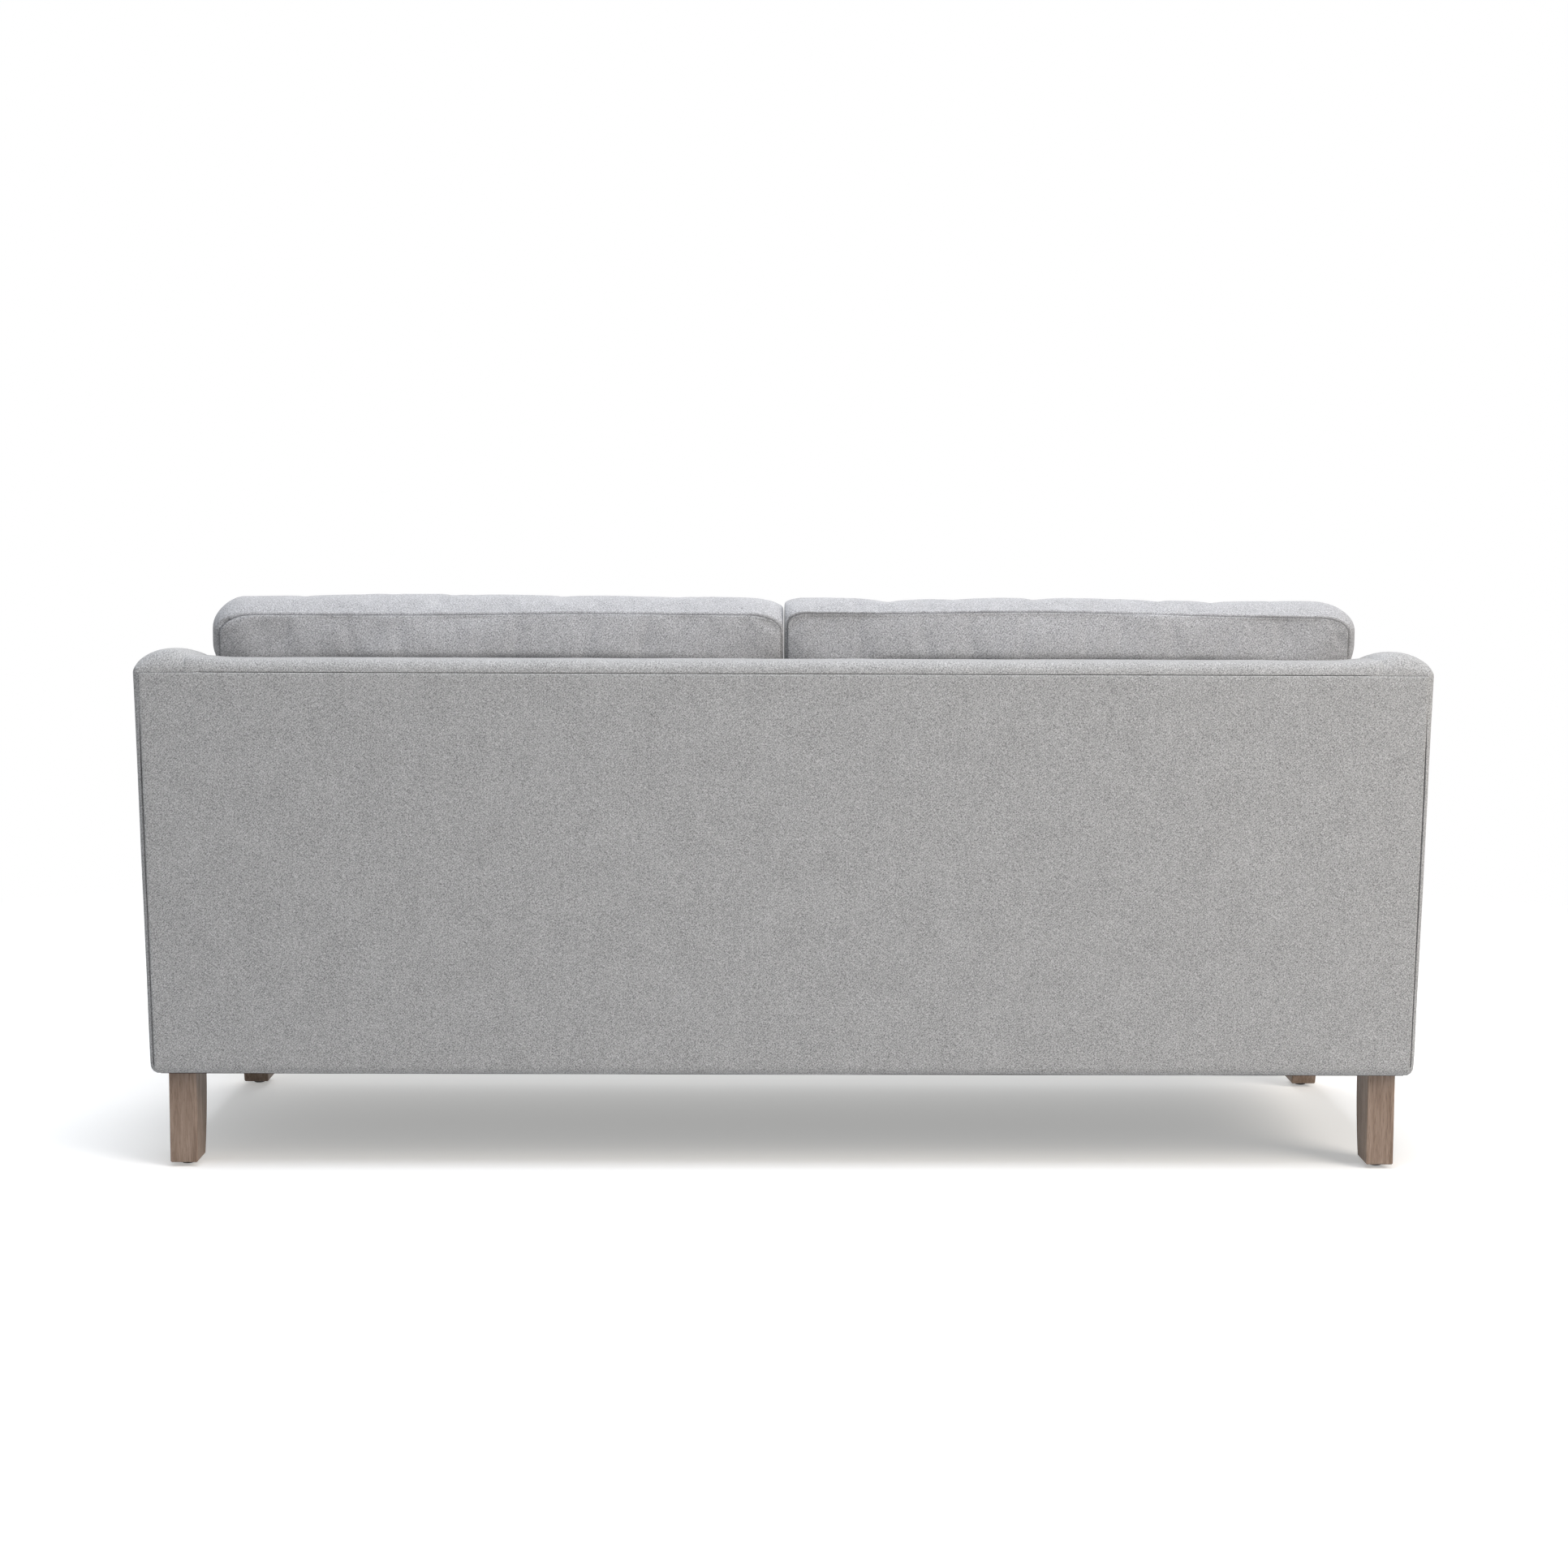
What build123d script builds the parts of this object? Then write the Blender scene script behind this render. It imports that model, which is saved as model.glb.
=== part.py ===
"""Dining sofa: timber frame on four curved legs, sprung seat, slim sloping arms, loose box cushions.

Millimetres. +Z is up, +X is the sitter's left, and the sofa faces -Y. The origin is on the floor
under the middle of the sofa. Pieces that come in pairs are drawn on the +X side and mirrored.
"""

import math
import os

from build123d import *

# Overall sizes
overall_width = 1960
overall_depth = 760
ground_clearance = 150
seam_height = 763.5
arm_width = 102
side_flare = 14.5

# Cloth and its joints
cover_thickness = 5
fold_thickness = 2
edge_roll = 14
fold_depth = 34
corner_radius = 10
dust_cloth_thickness = 1.2
soft_clearance = 0.3
side_clearance = 0.5
hole_clearance = 0.1

# Arms
arm_crown_rise = 34.5
arm_shoulder_radius = 26
arm_front_height = 650
arm_rear_round = 35
arm_front_round = 26
arm_front_corner = 14
arm_seam_drop = 2

# Back
back_top_width = 98
back_crest_rise = 20
back_rake = 8
back_rear_round = 18
back_inner_round = 30
back_into_arm = 12
back_foam_thickness = 40
webbing_thickness = 1.5
webbing_width = 50
webbing_count = 4
rear_board_thickness = 3

# Seat platform
deck_height = 355
deck_cloth_thickness = 5
front_setback = 8
front_foam_thickness = 12
front_return = 70
front_edge_round = 18
felt_thickness = 4
deck_behind_back = 34

# Timber
rail_thickness = 25
rail_height = 163
panel_thickness = 16
panel_window_height = 170
panel_window_border = 75
panel_window_radius = 25
post_thickness = 18
top_rail_thickness = 22
arm_rail_thickness = 20
arm_foam_over_rail = 40
tack_rail_height = 60
tack_rail_thickness = 22
stretcher_height = 60
stretcher_spacing = 600
corner_block_size = 100
corner_block_height = 40

# Zigzag springs
spring_wire = 3.8
spring_width = 46
spring_bars = 28
springs_per_seat = 4
clip_thickness = 1.5
clip_width = 16
clip_length = 18

# Legs and their fixings
leg_width = 42
leg_centre = 921.5
leg_rear_inset = 28.4
leg_top_depth = 79
leg_foot_depth = 60
leg_bulge = 7
leg_edge_radius = 2
leg_foot_chamfer = 1.8
leg_front_inset = 75.6
glide_height = 6.5
glide_radius = 10
glide_dome = 1.5
nail_radius = 1.2
nail_length = 15
bolt_radius = 4
bolt_inset = 36
bolt_in_leg = 50
bolt_in_rail = 46
insert_radius = 6.5
insert_length = 25

# Seat cushions
seat_cushion_height = 134
seat_crown = 16
seat_boxing_bulge = 6
seat_bottom_lift = 12
seat_rear_gap = 1
cushion_corner_pull = 14
cushion_edge_drop = 5

# Back cushions
back_cushion_over_crest = 64.5
back_cushion_thickness = 140
back_cushion_crown = 16
back_top_bulge = 13
back_bottom_bulge = 7
back_rear_lift = 10
back_corner_pull = 9
back_edge_drop = 20

# Cushion make-up, the same for all four
cushion_end_bulge = 12
cushion_end_pull = 20
edge_blend = 55
zip_width = 24
zip_tape = 1
zip_chain_width = 5
zip_chain_height = 2
zip_depth = 4.8
zip_length = 640
slider_length = 12
slider_wall = 1.3
slider_plate = 1.2
zip_stop = 4
least_crown = 2
cap_turn = 80
flat_crown_share = 0.2
seam_curve_share = 0.68
end_bulge_loss_share = 0.4
end_zone_share = 0.22

# Worked out from the sizes above
half_width = overall_width / 2
rear = overall_depth / 2
front = -overall_depth / 2
arm_inner = half_width - arm_width
base_half_width = half_width - side_flare
frame_low = ground_clearance + fold_thickness
rail_top = frame_low + rail_height
back_half_width = arm_inner + back_into_arm
crest_height = seam_height + back_crest_rise
back_cushion_top = crest_height + back_cushion_over_crest
rear_inside = rear - cover_thickness
frame_rear = rear_inside - rear_board_thickness
border_front = front + front_setback
rail_front = border_front + cover_thickness + front_foam_thickness
rear_rail_front = frame_rear - rail_thickness
rake_slope = math.tan(math.radians(back_rake))
rake_stretch = 1 / math.cos(math.radians(back_rake))
post_depth = cover_thickness + back_foam_thickness + webbing_thickness
panel_inner = leg_centre + rail_thickness / 2
side_rail_inner = panel_inner - rail_thickness
post_inner = panel_inner - post_thickness
deck_low = deck_height - deck_cloth_thickness
leg_top = ground_clearance - dust_cloth_thickness
leg_span = overall_depth - leg_rear_inset - leg_front_inset
overrun = cover_thickness
quarter_share = math.sqrt(1 / 2)


def block(x0, x1, y0, y1, z0, z1):
    """Box between two corners."""
    size = (x1 - x0, y1 - y0, z1 - z0)
    middle = ((x0 + x1) / 2, (y0 + y1) / 2, (z0 + z1) / 2)
    return Pos(*middle) * Box(*size)


def both_sides(shape):
    """The piece drawn on the +X side and its mirror image."""
    return shape, mirror(shape, about=Plane.YZ)


def prism(edges, x0, x1):
    """Solid with its outline in the YZ plane, from x0 to x1."""
    outline = Face(Wire(edges))
    return Pos(x0, 0, 0) * extrude(outline, amount=x1 - x0, dir=(1, 0, 0))


def outline_of(points):
    """Closed outline of straight lines through (y, z) points."""
    corners = [Vector(0, y, z) for y, z in points]
    return [Line(a, b) for a, b in zip(corners, corners[1:] + corners[:1])]


def save(name, shape):
    export_step(shape, f"parts/{name}.step")


def group(shapes):
    """Several separate solids of one kind in one node."""
    solids = []
    for shape in shapes:
        solids.extend(shape.solids())
    return Compound(solids)


# Arm: its outer face leans out, and its top drops in an S from the back to the front

swoop_rear = rear - arm_rear_round
swoop_front = front + arm_front_round
swoop_run = swoop_rear - swoop_front
swoop_drop = seam_height + arm_crown_rise - arm_front_height
swoop_radius = (swoop_run**2 + swoop_drop**2) / (4 * swoop_drop)


def arm_drop(y):
    """How far the arm's top has dropped at y, on two equal arcs that meet half way."""
    gone = min(max(swoop_rear - y, 0), swoop_run)
    if gone <= swoop_run / 2:
        return swoop_radius - math.sqrt(swoop_radius**2 - gone**2)
    left = swoop_run - gone
    return swoop_drop - swoop_radius + math.sqrt(swoop_radius**2 - left**2)


def outer_face(z):
    """Half width of the sofa at height z."""
    share = (z - ground_clearance) / (seam_height - ground_clearance)
    return base_half_width + side_flare * share


def arm_section(y, inset, lift, crown_share, outer_pull, inner_pull):
    """Outline of the arm across the sofa at y: flat bottom, rolled edge, leaning side, arched top."""
    fold = fold_thickness if inset else 0
    low = ground_clearance + fold + lift
    roll_x = edge_roll - inset
    roll_z = edge_roll - fold
    shoulder = seam_height - arm_drop(y)
    outer = outer_face(shoulder) - inset - outer_pull
    outer_low = outer_face(low + roll_z) - inset - outer_pull
    inner = arm_inner + inset + inner_pull
    half_span = (outer - inner) / 2
    middle = (outer + inner) / 2
    rise = (arm_crown_rise - inset) * crown_share
    small = (arm_shoulder_radius - inset) * crown_share
    large = (half_span**2 + rise**2 - 2 * half_span * small) / (2 * (rise - small))
    reach = half_span - small
    turn = math.atan2(large - rise, reach)

    def at(x, z):
        return Vector(x, y, z)

    def on_small(angle, side):
        x = middle + side * (reach + small * math.cos(angle))
        return at(x, shoulder + small * math.sin(angle))

    roll_middle = at(outer_low - roll_x * (1 - quarter_share), low + roll_z * (1 - quarter_share))
    edges = [
        Line(at(inner, low), at(outer_low - roll_x, low)),
        ThreePointArc(at(outer_low - roll_x, low), roll_middle, at(outer_low, low + roll_z)),
        Line(at(outer_low, low + roll_z), at(outer, shoulder)),
        ThreePointArc(at(outer, shoulder), on_small(turn / 2, 1), on_small(turn, 1)),
        ThreePointArc(on_small(turn, 1), at(middle, shoulder + rise), on_small(turn, -1)),
        ThreePointArc(on_small(turn, -1), on_small(turn / 2, -1), at(inner, shoulder)),
        Line(at(inner, shoulder), at(inner, low)),
    ]
    return Wire(edges)


def rounding(distance, radius):
    """How far a rounded corner of this radius stands back, this far in from its end."""
    gone = max(radius - distance, 0)
    return radius - math.sqrt(radius**2 - gone**2)


# How far each end section of the arm lies from the end, in shares of the crown's rounding
end_station_shares = (0.012, 0.05, 0.12, 0.22, 0.36, 0.55, 0.78, 1)
swoop_stations = 10


def arm_solid(inset):
    """The arm's whole outer shape, or the space inside a cover of thickness inset."""
    rear_y = rear - inset
    front_y = front + inset
    rear_round = arm_rear_round - inset
    front_round = arm_front_round - inset
    first_share = end_station_shares[0]
    rear_wires = []
    front_wires = []
    for share in end_station_shares:
        along = (share - first_share) / (1 - first_share)
        crown = 1 - rounding(share * rear_round, rear_round) / rear_round
        outer_pull = rounding(share * rear_round, corner_radius - inset)
        lift = rounding(share * rear_round, edge_roll - inset)
        y = rear_y - along * rear_round
        rear_wires.append(arm_section(y, inset, lift, crown, outer_pull, 0))
        crown = 1 - rounding(share * front_round, front_round) / front_round
        pull = rounding(share * front_round, arm_front_corner - inset)
        y = front_y + along * front_round
        front_wires.append(arm_section(y, inset, pull, crown, pull, pull))
    middle_wires = []
    start = rear_y - rear_round
    run = start - (front_y + front_round)
    for step in range(swoop_stations + 1):
        y = start - run * step / swoop_stations
        middle_wires.append(arm_section(y, inset, 0, 1, 0, 0))
    rear_end = Solid.make_loft(rear_wires, ruled=True)
    front_end = Solid.make_loft(front_wires, ruled=True)
    return rear_end + Solid.make_loft(middle_wires) + front_end


def under_arm_top(lowered, y0, y1, low):
    """Outline in the YZ plane under the arm's top line lowered by this much."""
    top = seam_height + arm_crown_rise - lowered

    def on_line(y):
        return Vector(0, y, top - arm_drop(y))

    edges = [Line(Vector(0, y1, low), on_line(y1))]
    joints = [y1, swoop_rear, (swoop_rear + swoop_front) / 2, swoop_front, y0]
    joints = [min(max(y, y0), y1) for y in joints]
    for a, b in zip(joints, joints[1:]):
        if a == b:
            continue
        if a <= swoop_front or b >= swoop_rear:
            edges.append(Line(on_line(a), on_line(b)))
        else:
            edges.append(ThreePointArc(on_line(a), on_line((a + b) / 2), on_line(b)))
    edges.append(Line(on_line(y0), Vector(0, y0, low)))
    edges.append(Line(Vector(0, y0, low), Vector(0, y1, low)))
    return edges


# Back: flat behind, raked in front, with a rounded top

def raked(depth, z):
    """The y of a plane that lies this deep behind the back's raked face, at height z."""
    face = rear - back_top_width - (crest_height - z) * rake_slope
    return face + depth * rake_stretch


def back_solid(inset, low, half_length):
    """The back's shape above low, inset on its rear, top and raked faces."""
    top = crest_height - inset
    points = [
        (rear - inset, low),
        (rear - inset, top),
        (raked(inset, top), top),
        (raked(inset, low), low),
    ]
    face = Face(Wire(outline_of(points)))
    corners = sorted(face.vertices(), key=lambda v: (v.Z, v.Y))
    face = face.fillet_2d(back_rear_round - inset, [corners[-1]])
    corners = sorted(face.vertices(), key=lambda v: (v.Z, -v.Y))
    face = face.fillet_2d(back_inner_round - inset, [corners[-1]])
    solid = extrude(face, amount=2 * half_length, dir=(1, 0, 0))
    return Pos(-half_length, 0, 0) * solid


def raked_slab(depth0, depth1, z0, z1, x0, x1):
    """Slab between two raked planes."""
    points = [
        (raked(depth0, z0), z0),
        (raked(depth1, z0), z0),
        (raked(depth1, z1), z1),
        (raked(depth0, z1), z1),
    ]
    return prism(outline_of(points), x0, x1)


def edge_strip(outer, inward, top, x0, x1):
    """A hanging cloth panel whose bottom edge rolls under the frame; inward is +1 or -1 along Y."""
    low = ground_clearance
    inner = outer + inward * cover_thickness
    roll_y = outer + inward * edge_roll
    end_y = outer + inward * (edge_roll + fold_depth)
    under = low + fold_thickness
    outer_middle = (roll_y - inward * edge_roll * quarter_share, low + edge_roll * (1 - quarter_share))
    thin_y = edge_roll - cover_thickness
    thin_z = edge_roll - fold_thickness
    inner_middle = (
        roll_y - inward * thin_y * quarter_share,
        low + edge_roll - thin_z * quarter_share,
    )

    def at(y, z):
        return Vector(0, y, z)

    edges = [
        Line(at(outer, top), at(outer, low + edge_roll)),
        ThreePointArc(at(outer, low + edge_roll), at(*outer_middle), at(roll_y, low)),
        Line(at(roll_y, low), at(end_y, low)),
        Line(at(end_y, low), at(end_y, under)),
        Line(at(end_y, under), at(roll_y, under)),
        ThreePointArc(at(roll_y, under), at(*inner_middle), at(inner, low + edge_roll)),
        Line(at(inner, low + edge_roll), at(inner, top)),
        Line(at(inner, top), at(outer, top)),
    ]
    return prism(edges, x0, x1)


def between_sides(setback, y0, y1, low, top):
    """Block whose ends follow the leaning sides of the sofa, set back from them."""
    corners = [
        (outer_face(low) - setback, low),
        (outer_face(top) - setback, top),
        (setback - outer_face(top), top),
        (setback - outer_face(low), low),
    ]
    points = [Vector(x, y0, z) for x, z in corners]
    edges = [Line(a, b) for a, b in zip(points, points[1:] + points[:1])]
    return extrude(Face(Wire(edges)), amount=y1 - y0, dir=(0, 1, 0))


# Covers of the body

def make_body_covers():
    arm_outer = arm_solid(0)
    arm_space = arm_solid(cover_thickness)
    back_all = back_solid(0, deck_low, back_half_width)
    back_inner = back_solid(cover_thickness, deck_low, back_half_width)

    rear_top = seam_height + overrun
    rear_panel = edge_strip(rear, -1, rear_top, -half_width, half_width)
    rear_panel = rear_panel & between_sides(
        corner_radius, front, rear, ground_clearance, seam_height
    )
    save("outside_back_cover", rear_panel)

    arm_cover = arm_outer - arm_space - rear_panel - back_all
    for x, y in leg_bolt_places():
        hole = Cylinder(bolt_radius + hole_clearance, ground_clearance)
        arm_cover = arm_cover - Pos(x, y, ground_clearance) * hole
    seam_line = arm_crown_rise + arm_seam_drop
    panel_front = front + arm_front_corner
    fold_edge = side_rail_inner - arm_front_corner
    outline = under_arm_top(seam_line, panel_front, rear, ground_clearance)
    outside_space = prism(outline, fold_edge, half_width + overrun)
    outside = (arm_cover & outside_space).solids().sort_by(SortBy.VOLUME)[-1]
    inside = arm_cover - outside_space
    inside = inside - block(
        arm_inner - overrun, fold_edge, rail_front, rear, ground_clearance, deck_height
    )
    for name, shape in (("outside_arm_cover", outside), ("inside_arm_cover", inside)):
        left, right = both_sides(shape)
        save(f"{name}_left", left)
        save(f"{name}_right", right)

    back_shell = back_all - back_inner
    seam_up = block(
        -half_width, half_width, front, rear, seam_height, crest_height + overrun
    )
    border = back_shell & seam_up
    save("back_top_border", border)
    facing_seat = block(
        -half_width, half_width, front, rear - back_top_width / 2, deck_height, seam_height
    )
    save("inside_back_cover", back_shell & facing_seat)


def make_seat_covers():
    strip = edge_strip(border_front, 1, deck_height, -arm_inner, arm_inner)
    top_cloth = block(
        -arm_inner,
        arm_inner,
        border_front,
        border_front + front_return,
        deck_low,
        deck_height,
    )
    border = strip + top_cloth
    nose = [e for e in border.edges().filter_by(Axis.X)
            if abs(e.center().Y - border_front) < overrun / 2
            and abs(e.center().Z - deck_height) < overrun / 2]
    border = fillet(nose, front_edge_round - cover_thickness)
    inner_nose = [e for e in border.edges().filter_by(Axis.X)
                  if abs(e.center().Y - border_front - cover_thickness) < overrun / 2
                  and abs(e.center().Z - deck_low) < overrun / 2]
    border = fillet(inner_nose, front_edge_round - 2 * cover_thickness)
    save("front_border_cover", border)

    deck_front = border_front + front_return
    deck_rear = raked(cover_thickness, deck_height) + deck_behind_back
    deck = block(
        -back_half_width, back_half_width, deck_front, deck_rear, deck_low, deck_height
    )
    save("deck_cover", deck)

    under = block(
        edge_roll - base_half_width,
        base_half_width - edge_roll,
        border_front + edge_roll,
        rear - edge_roll,
        leg_top,
        ground_clearance,
    )
    for x, y in leg_bolt_places():
        hole = Cylinder(bolt_radius + hole_clearance, ground_clearance)
        under = under - Pos(x, y, ground_clearance) * hole
    save("dust_cover", under)
    return deck_rear


# Timber frame

def leg_bolt_places():
    """Centres of the four leg bolts, seen from above."""
    rear_y = rear - leg_rear_inset - bolt_inset
    front_y = rear - leg_rear_inset - leg_span + bolt_inset
    return [(x, y) for y in (rear_y, front_y) for x in (leg_centre, -leg_centre)]


def insert_bores():
    """Bores in the side rails for the threaded inserts, and above them for the bolts."""
    bores = []
    for x, y in leg_bolt_places():
        wide = Cylinder(insert_radius + hole_clearance, 2 * insert_length)
        narrow = Cylinder(bolt_radius + hole_clearance, 2 * (bolt_in_rail + hole_clearance))
        bores.append(Pos(x, y, frame_low) * (wide + narrow))
    return bores


def rolled_corner():
    """Corner taken off the timber where the rear cloth rolls under it."""
    size = edge_roll - cover_thickness
    corner = [
        (frame_rear - size, frame_low - overrun),
        (frame_rear - size, frame_low),
        (frame_rear, frame_low + size),
        (frame_rear + overrun, frame_low + size),
        (frame_rear + overrun, frame_low - overrun),
    ]
    return prism(outline_of(corner), -half_width, half_width)


def make_base_frame():
    front_rail = block(
        -panel_inner, panel_inner, rail_front, rail_front + rail_thickness, frame_low, rail_top
    )
    rear_rail = block(
        -panel_inner, panel_inner, rear_rail_front, frame_rear, frame_low, rail_top
    )
    rear_rail = rear_rail - rolled_corner()
    save("front_rail", front_rail)
    save("rear_rail", rear_rail)
    inside_front = rail_front + rail_thickness
    side_rail = block(
        side_rail_inner, panel_inner, inside_front, rear_rail_front, frame_low, rail_top
    )
    for bore in insert_bores():
        side_rail = side_rail - bore
    left, right = both_sides(side_rail)
    save("side_rail_left", left)
    save("side_rail_right", right)
    stretchers = []
    for side in (-1, 1):
        x = side * stretcher_spacing / 2
        stretchers.append(
            block(
                x - rail_thickness / 2,
                x + rail_thickness / 2,
                inside_front,
                rear_rail_front,
                frame_low,
                frame_low + stretcher_height,
            )
        )
    save("stretchers", group(stretchers))
    blocks = []
    for y, inward in ((inside_front, 1), (rear_rail_front, -1)):
        for side in (-1, 1):
            x = side * side_rail_inner
            corner = Vector(x, y, frame_low)
            along_x = Vector(x - side * corner_block_size, y, frame_low)
            along_y = Vector(x, y + inward * corner_block_size, frame_low)
            face = Face(Wire([Line(corner, along_x), Line(along_x, along_y), Line(along_y, corner)]))
            blocks.append(extrude(face, amount=corner_block_height, dir=(0, 0, 1)))
    save("corner_blocks", group(blocks))


def post_outline(low, high):
    """Side outline of a back post: flat behind, raked in front."""
    return outline_of(
        [
            (frame_rear, low),
            (frame_rear, high),
            (raked(post_depth, high), high),
            (raked(post_depth, low), low),
        ]
    )


def make_back_frame():
    rail_high = crest_height - cover_thickness - back_inner_round + cover_thickness
    rail_low = rail_high - top_rail_thickness
    post = prism(post_outline(rail_top, rail_low), post_inner, panel_inner)
    left, right = both_sides(post)
    save("back_post_left", left)
    save("back_post_right", right)
    centre = prism(
        post_outline(rail_top, rail_low), -post_thickness / 2, post_thickness / 2
    )
    save("back_centre_post", centre)
    top_rail = prism(post_outline(rail_low, rail_high), -panel_inner, panel_inner)
    save("back_top_rail", top_rail)
    tack_low = deck_height + soft_clearance
    tack_high = tack_low + tack_rail_height
    tack = raked_slab(
        post_depth,
        post_depth + tack_rail_thickness,
        tack_low,
        tack_high,
        post_thickness / 2,
        post_inner,
    )
    save("back_tack_rails", group(both_sides(tack)))
    straps = []
    bay = post_inner - post_thickness / 2
    for index in range(webbing_count):
        middle = post_thickness / 2 + bay * (index + 1 / 2) / webbing_count
        strap = raked_slab(
            post_depth - webbing_thickness,
            post_depth,
            tack_low,
            rail_high,
            middle - webbing_width / 2,
            middle + webbing_width / 2,
        )
        straps.extend(both_sides(strap))
    save("back_webbing", group(straps))
    return rail_low, rail_high, tack


def make_arm_frame():
    lowered = arm_foam_over_rail
    arm_rear = frame_rear
    outline = under_arm_top(lowered, rail_front, arm_rear, frame_low)
    panel = prism(outline, panel_inner, panel_inner + panel_thickness)
    post_front = raked(post_depth, deck_height)
    window_low = rail_top + panel_window_border / 2
    middle = (rail_front + post_front) / 2
    for y0, y1 in (
        (rail_front + panel_window_border, middle - panel_window_border / 4),
        (middle + panel_window_border / 4, post_front),
    ):
        window = block(
            panel_inner - overrun,
            panel_inner + panel_thickness + overrun,
            y0,
            y1,
            window_low,
            window_low + panel_window_height,
        )
        window = fillet(window.edges().filter_by(Axis.X), panel_window_radius)
        panel = panel - window
    panel = panel - rolled_corner()
    rail_space = prism(
        under_arm_top(lowered, rail_front, arm_rear, rail_top), side_rail_inner, panel_inner
    )
    under_rail = prism(
        under_arm_top(lowered + arm_rail_thickness, rail_front, arm_rear, frame_low),
        side_rail_inner - overrun,
        panel_inner + overrun,
    )
    behind = prism(
        post_outline(frame_low, seam_height), side_rail_inner - overrun, panel_inner + overrun
    )
    arm_rail = rail_space - under_rail - behind
    front_post = rail_space & under_rail
    front_post = front_post & block(
        side_rail_inner,
        panel_inner,
        rail_front,
        rail_front + rail_thickness,
        rail_top,
        seam_height,
    )
    for name, shape in (("arm_panel", panel), ("arm_top_rail", arm_rail)):
        left, right = both_sides(shape)
        save(f"{name}_left", left)
        save(f"{name}_right", right)
    save("arm_front_posts", group(both_sides(front_post)))
    return panel, arm_rail, front_post


# Springs, felt and foam

def make_suspension(deck_rear):
    clip_base = rail_top + clip_thickness
    wire_z = clip_base + spring_wire / 2
    front_bar = rail_front + rail_thickness / 2
    rear_bar = rear_rail_front + rail_thickness / 2
    pitch = (rear_bar - front_bar) / (spring_bars - 1)
    bend = pitch / 2
    reach = spring_width / 2 - bend
    path = []
    side = 1
    for bar in range(spring_bars):
        y = front_bar + bar * pitch
        path.append(Line((-side * reach, y, wire_z), (side * reach, y, wire_z)))
        if bar < spring_bars - 1:
            start = Vector(side * reach, y, wire_z)
            crest = Vector(side * (reach + bend), y + bend, wire_z)
            path.append(ThreePointArc(start, crest, Vector(side * reach, y + pitch, wire_z)))
        side = -side
    start_plane = Plane(origin=(-reach, front_bar, wire_z), z_dir=(1, 0, 0))
    wire = sweep(start_plane * Circle(spring_wire / 2), path=Wire(path))

    bay = arm_inner - post_thickness / 2
    springs = []
    clips = []
    tongue_low = wire_z + spring_wire / 2
    for index in range(springs_per_seat):
        x = post_thickness / 2 + bay * (index + 1 / 2) / springs_per_seat
        for place in (-x, x):
            springs.append(Pos(place, 0, 0) * wire)
            for bar_y in (front_bar, rear_bar):
                clips.append(spring_clip(place, bar_y, wire_z, tongue_low))
    save("seat_springs", group(springs))
    save("spring_clips", group(clips))

    felt_low = tongue_low + clip_thickness
    felt = block(
        -back_half_width, back_half_width, rail_front, deck_rear, felt_low, felt_low + felt_thickness
    )
    felt = felt - block(
        arm_inner, half_width, front, rail_front + rail_thickness, 0, deck_height
    )
    save("deck_felt", felt)
    return felt_low + felt_thickness


def spring_clip(x, bar_y, wire_z, tongue_low):
    """Folded steel clip, open at its ends, that holds one end bar of a spring on a rail."""
    y0 = bar_y - clip_length / 2
    y1 = bar_y + spring_wire / 2 + soft_clearance
    base = (rail_top, rail_top + clip_thickness)
    top = (tongue_low, tongue_low + clip_thickness)
    points = [
        (y0, base[0]),
        (y1 + clip_thickness, base[0]),
        (y1 + clip_thickness, top[1]),
        (bar_y - spring_wire, top[1]),
        (bar_y - spring_wire, top[0]),
        (y1, top[0]),
        (y1, base[1]),
        (y0, base[1]),
    ]
    return prism(outline_of(points), x - clip_width / 2, x + clip_width / 2)


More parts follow.
